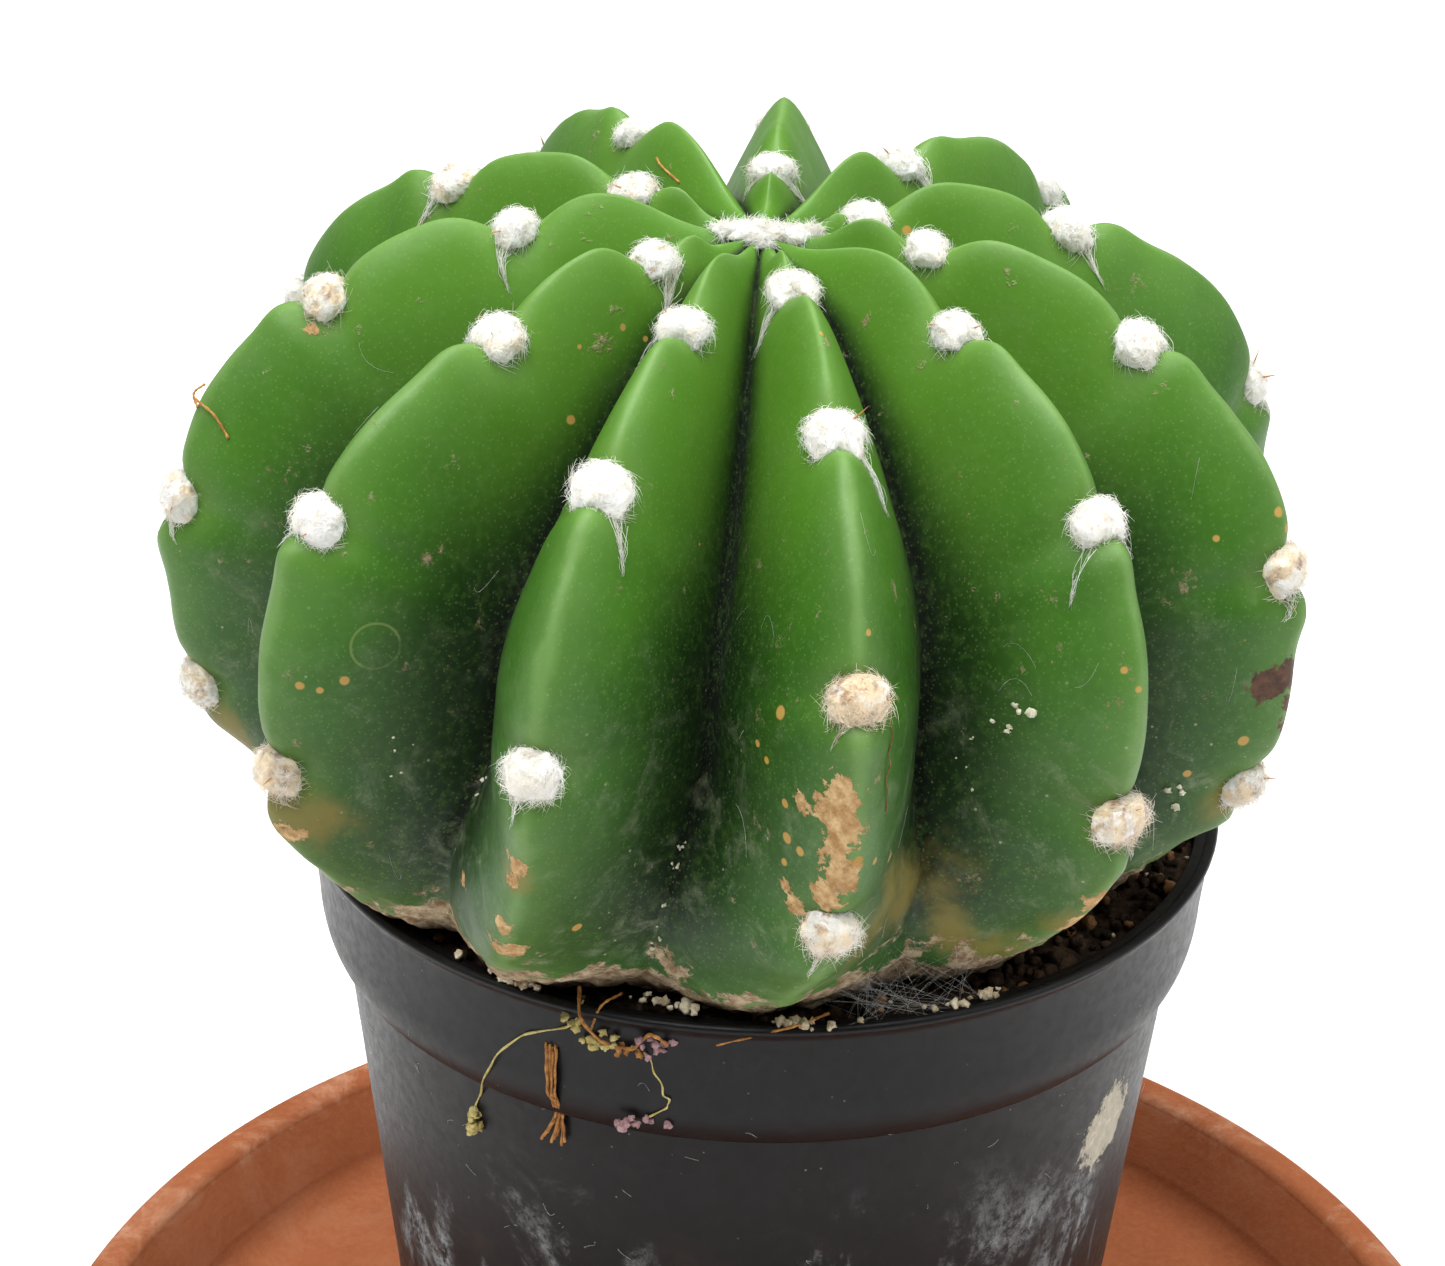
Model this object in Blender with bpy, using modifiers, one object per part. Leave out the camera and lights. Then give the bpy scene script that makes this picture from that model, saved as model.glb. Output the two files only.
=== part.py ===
"""A round, eleven-ribbed cactus with woolly areoles, in a plastic nursery pot on a clay saucer.

Blender 4.5, metres, +Z up. The origin is the centre of the saucer's underside.
The stem leans towards -Y, which is the front.
"""

import math

import bmesh
import bpy
from mathutils import Matrix, Vector

MM = 0.001
GAP = 0.3 * MM  # clearance between two pieces that touch
SWELL = 0.38 * MM  # grows the stem along its normals, to leave about GAP round its ridges
MERGE = 0.001 * MM

# Clay saucer
SAUCER_RADIUS = 75.5 * MM  # outer edge of the rim
SAUCER_HEIGHT = 14.2 * MM
SAUCER_RIM_WALL = 4.6 * MM
SAUCER_FLOOR = 4.8 * MM  # thickness of the floor
SAUCER_FLARE = 8.5 * MM  # how far the rim stands out past the floor
SAUCER_FOOT_INSET = 2.0 * MM  # how far the underside draws in from the floor's edge
SAUCER_FILLET = 4.8 * MM  # between the floor and the wall
SAUCER_RIM_ROUND = 1.6 * MM
SAUCER_SEGMENTS = 48
INNER_LEAN = 15  # degrees by which the saucer's round corners stop short of a quarter turn
OUTER_LEAN = 20
FOOT_LEAN = 30

# Nursery pot
POT_HEIGHT = 80.4 * MM
POT_RIM_RADIUS = 43.0 * MM
POT_LIP = 2.1 * MM  # width of the flat lip round the mouth
POT_LIP_THICKNESS = 0.9 * MM
POT_LIP_BEVEL = 0.3 * MM  # under the lip's outer edge
POT_WALL = 1.2 * MM
COLLAR_HEIGHT = 13.2 * MM
COLLAR_DRAFT = 1.1 * MM  # how much the collar narrows before it turns in
COLLAR_TURN = 5.5 * MM  # height over which the collar turns in to its step
COLLAR_TURN_IN = 1.8 * MM  # how far the collar turns in at its foot
COLLAR_STEP = 0.4 * MM
POT_TAPER = 7.1 * MM  # how much the body narrows from the collar down to the foot
POT_FOOT_HEIGHT = 2.0 * MM  # how far the floor of the pot stands above its foot ring
POT_SEGMENTS = 44
POT_OFF_CENTRE = -1.2 * MM  # where the pot stands on the saucer, along X
DRAIN_HOLES = 8
DRAIN_HOLE_RADIUS = 2.5 * MM
DRAIN_RING_INSET = 10.6 * MM  # from the foot's edge to the ring of drain holes
DRAIN_HOLE_SEGMENTS = 12

# Soil
SOIL_BELOW_RIM = 3.4 * MM
SOIL_RINGS = 4
SOIL_LUMP = 0.5 * MM
SOIL_RIPPLE = 4.0 * MM  # how quickly the lumps change from the middle outwards

# Stem: a squashed sphere of revolution, measured along the crests of its ribs
STEM_RADIUS = 51.4 * MM  # at the widest place
STEM_OFF_CENTRE = -2.2 * MM  # where the stem sits in the pot, along X
STEM_TOP = 32.3 * MM  # crest top above the widest place
STEM_BOTTOM = 39.5 * MM  # where the lower curve would close, below the widest place
TOP_FULLNESS = 2.48  # 2 is an ellipse, more is squarer
BOTTOM_FULLNESS = 2.10
LEAN_FORWARD = math.radians(5.9)
LEAN_RIGHT = math.radians(0.8)
BASE_ANGLE = math.radians(127.5)  # where the flank ends, from the crown
BASE_ANGLE_FRONT = math.radians(6.5)  # how much sooner it ends at the front than at the side
CREST_TURN = 1.5  # how softly a crest turns from its azimuth at the widest place to its ends
CREST_TURN_BELOW = math.radians(40)  # from the widest place down to where a crest has turned
HEEL_START = math.radians(104)
HEEL_TUCK = 0.06  # share by which the base draws in below the heel
ABOVE_RIM = 0.8 * MM  # height over the pot's lip of the point that the stem leans about
HEEL_RISE = 1.38 * MM  # the crests' ends above that point
LIP_CLEARANCE = 0.8 * MM  # between the lip and any of the stem that overhangs it
RIB_HEIGHT = 16.5 * MM
RIB_RISE = 28.0 * MM  # distance from the crown over which the ribs gain their height
RIB_RISE_POWER = 1.4
RIB_FADE = 0.78  # share of the rib height lost at the base
FADE_EARLY = 0.2  # radians before the heel at which the ribs start to fade
FADE_LATE = 0.1  # radians past the base at which they would have faded
GROOVE_SHARPNESS = 1.12
CREST_ROUND = 0.22  # roundness of the crest, as a share of half a rib's width
CROWN_ANGLE = math.radians(3)
CROWN_DIP = 2.8 * MM  # how far the ribs sink where they meet
CROWN_DIP_RADIUS = 9.0 * MM
NECK_RADIUS = 10.0 * MM
NECK_DEPTH = 16.0 * MM  # how far the root neck reaches below the heel
NECK_SHOULDER = 0.2  # widens the underside just above the neck, as a share of the heel
NECK_SHOULDER_DROP = 0.7  # where that is, as a share of the neck's depth
UNDERSIDE = ((0.93, 0.06), (0.80, 0.16), (0.55, 0.34))  # shares of the heel and of the neck's depth
STEM_RINGS = 27
SHARP_ANGLE = math.radians(40)  # edges sharper than this are shaded as edges
COLUMNS_PER_RIB = 8
NOTCH_DEPTH = 1.3 * MM
NOTCH_LENGTH = 3.4 * MM

# Each rib, going round from the front towards +X. Degrees from the front at the crown, at the
# widest place and at the base, then its size, then its areoles in degrees from the crown.
RIBS = (
    (-17, -19, -31, 1.00, (18, 43, 83)),
    (13, 10, 1, 0.98, (10, 33, 70, 101)),
    (49, 39, 37, 0.97, (22, 53, 94)),
    (79, 66, 64, 0.99, (12, 37, 76, 106)),
    (108, 107, 106, 0.97, (7, 30, 75, 103)),
    (142, 140, 140, 1.01, (18, 52, 86, 110)),
    (175, 178, 178, 1.04, (9, 47, 78, 104)),
    (207, 208, 208, 1.00, (24, 58, 93)),
    (242, 242, 242, 0.99, (10, 33, 72, 104)),
    (270, 283, 283, 1.01, (19, 42, 79, 104)),
    (312, 311, 311, 1.01, (9, 28, 61, 96)),
)

# Wool
TUFT_WIDTH = 5.4 * MM
TUFT_LENGTH = 5.0 * MM
TUFT_HEIGHT = 4.6 * MM
TUFT_LIFT = 0.6 * MM  # centre of a tuft above the crest
YOUNG_TUFT = 0.85  # size of the first tuft on each rib, against the others
CROWN_WOOL_WIDTH = 9.0 * MM
CROWN_WOOL_HEIGHT = 4.4 * MM
CROWN_WOOL_LIFT = 0.8 * MM

# Worked out from the sizes above
SAUCER_FLOOR_RADIUS = SAUCER_RADIUS - SAUCER_FLARE
SAUCER_FOOT_RADIUS = SAUCER_FLOOR_RADIUS - SAUCER_FOOT_INSET
POT_FOOT = SAUCER_FLOOR + GAP
POT_RIM = POT_FOOT + POT_HEIGHT
STEM_PIVOT = POT_RIM + ABOVE_RIM
SOIL_TOP = POT_RIM - SOIL_BELOW_RIM
COLLAR_FOOT = POT_RIM - COLLAR_HEIGHT
COLLAR_FOOT_RADIUS = POT_RIM_RADIUS - COLLAR_DRAFT - COLLAR_TURN_IN
BODY_TOP_RADIUS = COLLAR_FOOT_RADIUS - COLLAR_STEP
POT_FOOT_RADIUS = BODY_TOP_RADIUS - POT_TAPER
POT_FLOOR = POT_FOOT + POT_FOOT_HEIGHT
DRAIN_RING_RADIUS = POT_FOOT_RADIUS - DRAIN_RING_INSET
HEEL_DROP = STEM_BOTTOM * abs(math.cos(BASE_ANGLE)) ** (2 / BOTTOM_FULLNESS)
STEM_WIDEST = HEEL_RISE + HEEL_DROP  # height of the widest place above the leaning point


def clear_scene():
    for obj in list(bpy.data.objects):
        bpy.data.objects.remove(obj)


def new_collection(name):
    collection = bpy.data.collections.new(name)
    bpy.context.scene.collection.children.link(collection)
    return collection


def new_empty(name, collection, parent=None):
    empty = bpy.data.objects.new(name, None)
    collection.objects.link(empty)
    empty.parent = parent
    return empty


def new_material(name, colour, roughness, metallic=0.0):
    material = bpy.data.materials.new(name)
    material.use_nodes = True
    shader = material.node_tree.nodes["Principled BSDF"]
    shader.inputs["Base Color"].default_value = (*colour, 1.0)
    shader.inputs["Roughness"].default_value = roughness
    shader.inputs["Metallic"].default_value = metallic
    return material


def object_from(mesh_builder, name, collection, material=None):
    """An object whose mesh is the closed bmesh given, shaded smooth."""
    mesh = bpy.data.meshes.new(name)
    bmesh.ops.recalc_face_normals(mesh_builder, faces=mesh_builder.faces)
    mesh_builder.to_mesh(mesh)
    mesh_builder.free()
    mesh.shade_smooth()
    mesh.set_sharp_from_angle(angle=SHARP_ANGLE)
    if material:
        mesh.materials.append(material)
    obj = bpy.data.objects.new(name, mesh)
    collection.objects.link(obj)
    return obj


def turned(name, profile, segments, collection, material=None):
    """A profile of (radius, height) points turned about Z. Its outer side runs from top to bottom."""
    mesh = bpy.data.meshes.new(name)
    edges = [(i, i + 1) for i in range(len(profile) - 1)]
    mesh.from_pydata([(radius, 0.0, height) for radius, height in profile], edges, [])
    if material:
        mesh.materials.append(material)
    obj = bpy.data.objects.new(name, mesh)
    collection.objects.link(obj)
    screw = obj.modifiers.new("Turn", "SCREW")
    screw.steps = segments
    screw.render_steps = segments
    screw.use_merge_vertices = True
    screw.merge_threshold = MERGE
    screw.use_smooth_shade = True
    return obj


def cut(obj, cutter):
    boolean = obj.modifiers.new(cutter.name, "BOOLEAN")
    boolean.operation = "DIFFERENCE"
    boolean.object = cutter
    boolean.solver = "EXACT"
    boolean.use_self = True  # the swollen cutter may fold over itself in a tight groove


def hide_cutter(obj):
    obj.hide_render = True
    obj.display_type = "WIRE"
    return obj


def arc(centre, radius, start, end, steps):
    """Points on an arc in the profile plane, in degrees from +X."""
    angles = [math.radians(start + (end - start) * k / steps) for k in range(steps + 1)]
    return [(centre[0] + radius * math.cos(a), centre[1] + radius * math.sin(a)) for a in angles]


def ease(low, high, value):
    """0 below low, 1 above high, and a smooth rise between."""
    share = min(max((value - low) / (high - low), 0.0), 1.0)
    return share * share * (3 - 2 * share)


# Saucer and pot


def make_saucer(collection, material):
    rim = SAUCER_RIM_ROUND
    inner_rim = (SAUCER_RADIUS - SAUCER_RIM_WALL + rim, SAUCER_HEIGHT - rim)
    outer_rim = (SAUCER_RADIUS - rim, SAUCER_HEIGHT - rim)
    fillet = (SAUCER_FLOOR_RADIUS - SAUCER_FILLET, SAUCER_FLOOR + SAUCER_FILLET)
    profile = [(0.0, SAUCER_FLOOR)]
    profile += arc(fillet, SAUCER_FILLET, -90, -INNER_LEAN, 3)
    profile += arc(inner_rim, rim, 180 - INNER_LEAN, 90, 3)
    profile += arc(outer_rim, rim, 90, -OUTER_LEAN, 3)
    profile += arc((SAUCER_FOOT_RADIUS - rim, rim), rim, -FOOT_LEAN, -90, 2)
    profile += [(0.0, 0.0)]
    return turned("saucer", profile, SAUCER_SEGMENTS, collection, material)


def collar_turn(inset, steps=4):
    """The collar's outer side from where it starts to turn in down to its foot."""
    top = POT_RIM_RADIUS - COLLAR_DRAFT
    points = []
    for k in range(steps + 1):
        angle = math.radians(90) * k / steps
        radius = top - COLLAR_TURN_IN * (1 - math.cos(angle))
        height = COLLAR_FOOT + COLLAR_TURN * (1 - math.sin(angle))
        points.append((radius - inset, height))
    return points


def pot_cavity(clearance):
    """The inside of the pot, from the top of its floor up to the lip, drawn in by a clearance."""
    wall = POT_WALL + clearance
    floor = POT_FLOOR + POT_WALL + clearance
    low_radius = POT_FOOT_RADIUS + (BODY_TOP_RADIUS - POT_FOOT_RADIUS) * POT_FOOT_HEIGHT / POT_HEIGHT
    points = [(0.0, floor), (low_radius - wall, floor)]
    points += [(BODY_TOP_RADIUS - wall, COLLAR_FOOT + wall)]
    points += [(radius, height + wall) for radius, height in reversed(collar_turn(wall)[:-1])]
    return points


def make_drain_cutter(collection, potted):
    """One mesh of upright pegs, evenly spaced on a ring, longer than the floor is thick."""
    pegs = bmesh.new()
    for k in range(DRAIN_HOLES):
        angle = math.tau * k / DRAIN_HOLES
        place = Vector((math.cos(angle), math.sin(angle), 0.0)) * DRAIN_RING_RADIUS
        place.z = POT_FLOOR + POT_WALL / 2
        bmesh.ops.create_cone(
            pegs,
            cap_ends=True,
            segments=DRAIN_HOLE_SEGMENTS,
            radius1=DRAIN_HOLE_RADIUS,
            radius2=DRAIN_HOLE_RADIUS,
            depth=4 * POT_WALL,
            matrix=Matrix.Translation(place),
        )
    cutter = object_from(pegs, "drain_hole_pegs", collection)
    cutter.parent = potted
    return hide_cutter(cutter)


def make_pot(collection, material, potted, cutters):
    inner_lip = POT_RIM_RADIUS - POT_LIP
    profile = pot_cavity(0.0)
    profile += [(inner_lip, POT_RIM), (POT_RIM_RADIUS, POT_RIM)]
    profile += [(POT_RIM_RADIUS, POT_RIM - POT_LIP_THICKNESS)]
    profile += [(POT_RIM_RADIUS - POT_LIP_BEVEL, POT_RIM - POT_LIP_THICKNESS - POT_LIP_BEVEL)]
    profile += collar_turn(0.0)
    profile += [(BODY_TOP_RADIUS, COLLAR_FOOT - COLLAR_STEP / 2)]
    profile += [(POT_FOOT_RADIUS, POT_FOOT), (POT_FOOT_RADIUS - POT_WALL, POT_FOOT)]
    profile += [(POT_FOOT_RADIUS - POT_WALL, POT_FLOOR), (0.0, POT_FLOOR)]
    pot = turned("pot", profile, POT_SEGMENTS, collection, material)
    pot.parent = potted
    cut(pot, make_drain_cutter(cutters, potted))
    return pot


# Stem


def crest(angle):
    """(radius, height) of the crest line, at an angle from the crown, about the stem's own axis."""
    upper = angle <= math.pi / 2
    power = 2 / (TOP_FULLNESS if upper else BOTTOM_FULLNESS)
    rise = STEM_TOP if upper else -STEM_BOTTOM
    tuck = 1 - HEEL_TUCK * ease(HEEL_START, BASE_ANGLE, angle)
    radius = STEM_RADIUS * tuck * math.sin(angle) ** power
    dip = CROWN_DIP * math.exp(-((radius / CROWN_DIP_RADIUS) ** 2))
    return radius, STEM_WIDEST + rise * abs(math.cos(angle)) ** power - dip


def crest_normal(angle):
    step = math.radians(0.5)
    low, high = crest(max(angle - step, step)), crest(angle + step)
    along = Vector((high[0] - low[0], high[1] - low[1])).normalized()
    return Vector((-along.y, along.x))


def rib_azimuth(rib, angle):
    """Degrees from the front of one rib's crest, at an angle from the crown."""
    crown, side, base = rib[:3]
    quarter = math.pi / 2
    above = max((quarter - angle) / quarter, 0.0) ** CREST_TURN
    below = max((angle - quarter) / CREST_TURN_BELOW, 0.0) ** CREST_TURN
    return side + (crown - side) * above + (base - side) * below


def notch(rib, angle):
    """How far the crest dips at this angle, because of the areoles near it."""
    dips = 0.0
    for areole in rib[4]:
        along = (angle - math.radians(areole)) * STEM_RADIUS / NOTCH_LENGTH
        dips += math.exp(-along * along)
    return NOTCH_DEPTH * dips


def groove_shape(share):
    """0 on a crest, 1 in a groove: a V with a rounded crest."""
    rounded = math.hypot(share, CREST_ROUND) - CREST_ROUND
    return (rounded / (math.hypot(1.0, CREST_ROUND) - CREST_ROUND)) ** GROOVE_SHARPNESS


def around(azimuth, radius, height):
    """A point at degrees from the front (-Y), turning towards +X."""
    turn = math.radians(azimuth)
    return Vector((radius * math.sin(turn), -radius * math.cos(turn), height))


def azimuth_between(index, between, angle):
    """Degrees from the front, between the crest of one rib (0) and the crest of the next (1)."""
    start = rib_azimuth(RIBS[index], angle)
    width = (rib_azimuth(RIBS[(index + 1) % len(RIBS)], angle) - start) % 360
    return start + width * between


def surface(index, between, angle):
    """A point of the stem's skin, between the crest of one rib (0) and the crest of the next (1)."""
    rib = RIBS[index]
    following = RIBS[(index + 1) % len(RIBS)]
    radius, height = crest(angle)
    size = rib[3] + (following[3] - rib[3]) * between
    share = 1 - abs(2 * between - 1)
    fade = 1 - RIB_FADE * ease(HEEL_START - FADE_EARLY, BASE_ANGLE + FADE_LATE, angle)
    rise = math.tanh((radius / RIB_RISE) ** RIB_RISE_POWER)
    depth = RIB_HEIGHT * rise * fade * groove_shape(share)
    dip = notch(rib if between < 0.5 else following, angle) * (1 - share) ** 2
    height += (size - 1) * (height - STEM_WIDEST) * radius / STEM_RADIUS
    normal = crest_normal(angle)
    inward = depth + dip
    azimuth = azimuth_between(index, between, angle)
    return around(azimuth, radius * size - normal.x * inward, height - normal.y * inward)


def base_angle(azimuth):
    """Where the flank ends on this side, so that the leaning stem ends level."""
    return BASE_ANGLE - BASE_ANGLE_FRONT * math.cos(math.radians(azimuth))


def stem_rings():
    """The rings of the stem from the crown down its flank, then under the heel to the root neck."""
    columns = [
        (index, column / COLUMNS_PER_RIB)
        for index in range(len(RIBS))
        for column in range(COLUMNS_PER_RIB)
    ]
    ends = [base_angle(azimuth_between(index, between, math.pi / 2)) for index, between in columns]
    rings = []
    for k in range(STEM_RINGS):
        share = k / (STEM_RINGS - 1)
        angles = [CROWN_ANGLE + (end - CROWN_ANGLE) * share for end in ends]
        rings.append([surface(*column, angle) for column, angle in zip(columns, angles)])
    heel = rings[-1]
    middle = sum((point.z for point in heel), 0.0) / len(heel)
    neck = NECK_RADIUS / STEM_RADIUS
    shoulder = (0.5 * neck + NECK_SHOULDER, NECK_SHOULDER_DROP)
    for inward, drop in (*UNDERSIDE, shoulder, (neck, 1.0)):
        rings.append(
            [
                Vector((p.x * inward, p.y * inward, middle + (p.z - middle) * inward - NECK_DEPTH * drop))
                for p in heel
            ]
        )
    return rings


def lift_over_lip(rings, plant):
    """How much higher the leaning stem has to stand for its underside to clear the pot's lip."""
    mouth = POT_RIM_RADIUS - POT_LIP
    lean = plant.rotation_euler.to_matrix()
    lowest = math.inf
    for column in zip(*rings[STEM_RINGS - 1 :]):
        points = [lean @ point + plant.location for point in column]
        for outer, inner in zip(points, points[1:]):
            reach = outer.xy.length - mouth
            if reach > 0:
                share = min(reach / (outer.xy.length - inner.xy.length), 1.0)
                lowest = min(lowest, outer.z, outer.z + (inner.z - outer.z) * share)
    return max(POT_RIM + LIP_CLEARANCE - lowest, 0.0)


def close_loft(rings):
    """A closed mesh through rings of equal count, with a point at each end."""
    loft = bmesh.new()
    loops = [[loft.verts.new(point) for point in ring] for ring in rings]
    count = len(loops[0])
    for upper, lower in zip(loops, loops[1:]):
        for k in range(count):
            after = (k + 1) % count
            loft.faces.new((upper[k], lower[k], lower[after], upper[after]))
    for loop in (loops[0], loops[-1]):
        centre = loft.verts.new(sum((vert.co for vert in loop), Vector()) / count)
        for k in range(count):
            loft.faces.new((loop[k], loop[(k + 1) % count], centre))
    return loft


def make_stem(collection, material, plant, cutters):
    """The stem. It returns a hidden copy, swollen by the clearance, which cuts what touches it."""
    rings = stem_rings()
    plant.location.z += lift_over_lip(rings, plant)
    stem = object_from(close_loft(rings), "stem", collection, material)
    stem.parent = plant
    grown = bpy.data.objects.new("stem_clearance", stem.data)
    cutters.objects.link(grown)
    grown.parent = plant
    swell = grown.modifiers.new("Swell", "DISPLACE")
    swell.strength = SWELL
    swell.mid_level = 0.0
    return hide_cutter(grown)


# Wool


def wool_ball(name, collection, material, plant, segments, rings, size):
    ball = bmesh.new()
    bmesh.ops.create_uvsphere(ball, u_segments=segments, v_segments=rings, radius=0.5)
    bmesh.ops.scale(ball, vec=size, verts=ball.verts)
    obj = object_from(ball, name, collection, material)
    obj.parent = plant
    return obj


def make_tuft(index, order, collection, material, plant, stem_clearance):
    """One areole's wool, seated on its crest with its height along the crest's normal."""
    angle = math.radians(RIBS[index][4][order])
    seat = surface(index, 0.0, angle)
    normal = crest_normal(angle)
    azimuth = rib_azimuth(RIBS[index], angle)
    outward = around(azimuth, normal.x, normal.y)
    sideways = around(azimuth + 90, 1.0, 0.0)
    along = outward.cross(sideways)
    size = Vector((TUFT_WIDTH, TUFT_LENGTH, TUFT_HEIGHT)) * (YOUNG_TUFT if order == 0 else 1.0)
    name = f"wool_rib{index + 1:02d}_{order + 1}"
    tuft = wool_ball(name, collection, material, plant, 8, 6, size)
    frame = Matrix((sideways, along, outward)).transposed().to_4x4()
    tuft.matrix_local = Matrix.Translation(seat + outward * TUFT_LIFT) @ frame
    cut(tuft, stem_clearance)
    return tuft


def make_crown_wool(collection, material, plant, stem_clearance):
    size = Vector((CROWN_WOOL_WIDTH, CROWN_WOOL_WIDTH, CROWN_WOOL_HEIGHT))
    wool = wool_ball("crown_wool", collection, material, plant, 16, 8, size)
    wool.location.z = crest(CROWN_ANGLE)[1] + CROWN_WOOL_LIFT
    cut(wool, stem_clearance)
    return wool


# Soil


def soil_surface(radius, azimuth):
    """Height of the soil's top, a little uneven."""
    wave = math.sin(3 * azimuth + 0.7) + math.sin(5 * azimuth + radius / SOIL_RIPPLE)
    return SOIL_TOP + SOIL_LUMP * 0.5 * wave


def make_soil(collection, material, potted, stem_clearance):
    """Soil that fills the pot, hollowed where the heel and the root neck sit in it."""
    side = [point for point in pot_cavity(GAP)[1:] if point[1] < SOIL_TOP - SOIL_LUMP]
    top_radius = side[-1][0]
    rings = []
    for k in range(1, SOIL_RINGS + 1):
        radius = top_radius * k / SOIL_RINGS
        ring = []
        for column in range(POT_SEGMENTS):
            azimuth = math.tau * column / POT_SEGMENTS
            x, y = radius * math.cos(azimuth), radius * math.sin(azimuth)
            ring.append(Vector((x, y, soil_surface(radius, azimuth))))
        rings.append(ring)
    for radius, height in reversed(side):
        share = radius / top_radius
        rings.append([Vector((p.x * share, p.y * share, height)) for p in rings[SOIL_RINGS - 1]])
    soil = object_from(close_loft(rings), "soil", collection, material)
    soil.parent = potted
    cut(soil, stem_clearance)
    return soil


def main():
    clear_scene()
    parts = new_collection("potted_round_cactus")
    cutters = new_collection("cutters")
    clay = new_material("clay", (0.56, 0.22, 0.10), 0.85)
    plastic = new_material("black_plastic", (0.035, 0.035, 0.04), 0.42)
    skin = new_material("stem_skin", (0.07, 0.22, 0.04), 0.45)
    peat = new_material("soil", (0.045, 0.03, 0.02), 0.95)
    wool = new_material("areole_wool", (0.82, 0.78, 0.70), 0.95)

    potted = new_empty("potted", parts)
    potted.location = (POT_OFF_CENTRE, 0.0, 0.0)
    plant = new_empty("plant", parts, potted)
    plant.location = (STEM_OFF_CENTRE, 0.0, STEM_PIVOT)
    plant.rotation_euler = (LEAN_FORWARD, LEAN_RIGHT, 0.0)

    make_saucer(parts, clay)
    make_pot(parts, plastic, potted, cutters)
    stem_clearance = make_stem(parts, skin, plant, cutters)
    make_soil(parts, peat, potted, stem_clearance)
    make_crown_wool(parts, wool, plant, stem_clearance)
    for index, rib in enumerate(RIBS):
        for order in range(len(rib[4])):
            make_tuft(index, order, parts, wool, plant, stem_clearance)


main()
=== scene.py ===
"""Looks for the potted round cactus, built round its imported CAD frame. Metres, +Z up."""

import math

import bmesh
import bpy
import numpy as np
from mathutils import Euler, Matrix, Vector, noise


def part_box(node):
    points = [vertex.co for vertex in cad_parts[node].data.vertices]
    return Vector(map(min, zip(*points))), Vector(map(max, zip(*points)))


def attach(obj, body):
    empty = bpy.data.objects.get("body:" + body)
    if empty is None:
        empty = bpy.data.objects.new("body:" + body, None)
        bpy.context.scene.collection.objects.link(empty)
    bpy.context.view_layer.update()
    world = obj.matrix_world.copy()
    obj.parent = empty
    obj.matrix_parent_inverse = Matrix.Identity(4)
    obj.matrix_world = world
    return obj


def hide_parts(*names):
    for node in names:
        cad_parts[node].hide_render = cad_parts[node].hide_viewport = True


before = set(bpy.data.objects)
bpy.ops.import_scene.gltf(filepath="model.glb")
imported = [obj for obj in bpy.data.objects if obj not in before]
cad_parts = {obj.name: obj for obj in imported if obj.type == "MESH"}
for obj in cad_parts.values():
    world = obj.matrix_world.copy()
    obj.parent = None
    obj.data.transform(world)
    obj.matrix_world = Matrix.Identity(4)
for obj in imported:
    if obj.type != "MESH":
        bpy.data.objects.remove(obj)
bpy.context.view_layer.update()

MM = 0.001
RNG = np.random.default_rng(20261119)

# ---------------------------------------------------------------- sizes
# Most have part.py's names and values. The stem's skin is finer here: it is mostly within 1.2 mm of its CAD
# solid, and up to 5 mm off at the heel.
SAUCER_RIM_WALL = 4.6 * MM
SAUCER_FLOOR = 4.8 * MM
SAUCER_FLARE = 8.5 * MM
SAUCER_FOOT_INSET = 2.0 * MM
POT_WALL = 1.2 * MM
COLLAR_HEIGHT = 13.2 * MM
COLLAR_DRAFT = 1.1 * MM
COLLAR_TURN = 5.5 * MM
COLLAR_TURN_IN = 1.8 * MM
COLLAR_STEP = 0.4 * MM
POT_TAPER = 7.1 * MM
POT_FOOT_HEIGHT = 2.0 * MM
DRAIN_HOLES = 8
DRAIN_HOLE_RADIUS = 2.5 * MM
DRAIN_RING_INSET = 10.6 * MM
SOIL_BELOW_RIM = 3.4 * MM

STEM_RADIUS = 51.4 * MM
STEM_OFF_CENTRE = -2.2 * MM
STEM_WIDEST = 26.0 * MM
STEM_TOP = 32.3 * MM
STEM_BOTTOM = 39.5 * MM
TOP_FULLNESS = 2.48
BOTTOM_FULLNESS = 2.10
LEAN_FORWARD = math.radians(5.9)
LEAN_RIGHT = math.radians(0.8)
BASE_ANGLE = math.radians(127.5)
BASE_ANGLE_FRONT = math.radians(3.0)
HEEL_START = math.radians(104)
HEEL_TUCK = 0.065
ABOVE_RIM = 0.8 * MM
RIB_HEIGHT = 16.5 * MM
RIB_RISE = 28.0 * MM
RIB_RISE_POWER = 1.4
RIB_FADE = 0.82
CREST_ROUND = 0.125
CROWN_ANGLE = math.radians(3)
CROWN_DIP = 2.8 * MM
CROWN_DIP_RADIUS = 9.0 * MM
NECK_RADIUS = 10.0 * MM
NECK_DEPTH = 16.0 * MM
NOTCH_DEPTH = 1.7 * MM
NOTCH_LENGTH = 3.2 * MM
# the skin bulges below each areole and between two of them
CHIN = 0.9 * MM
CHIN_BELOW = 5.0 * MM
CHIN_LENGTH = 3.6 * MM
HUMP = 1.8 * MM
GROOVE_SHARPNESS = 1.05
FLATTEN_FROM = math.radians(96)
FRONT_SAG = 1.0 * MM
CREST_ROUND_WITHIN = 14 * MM

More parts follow.
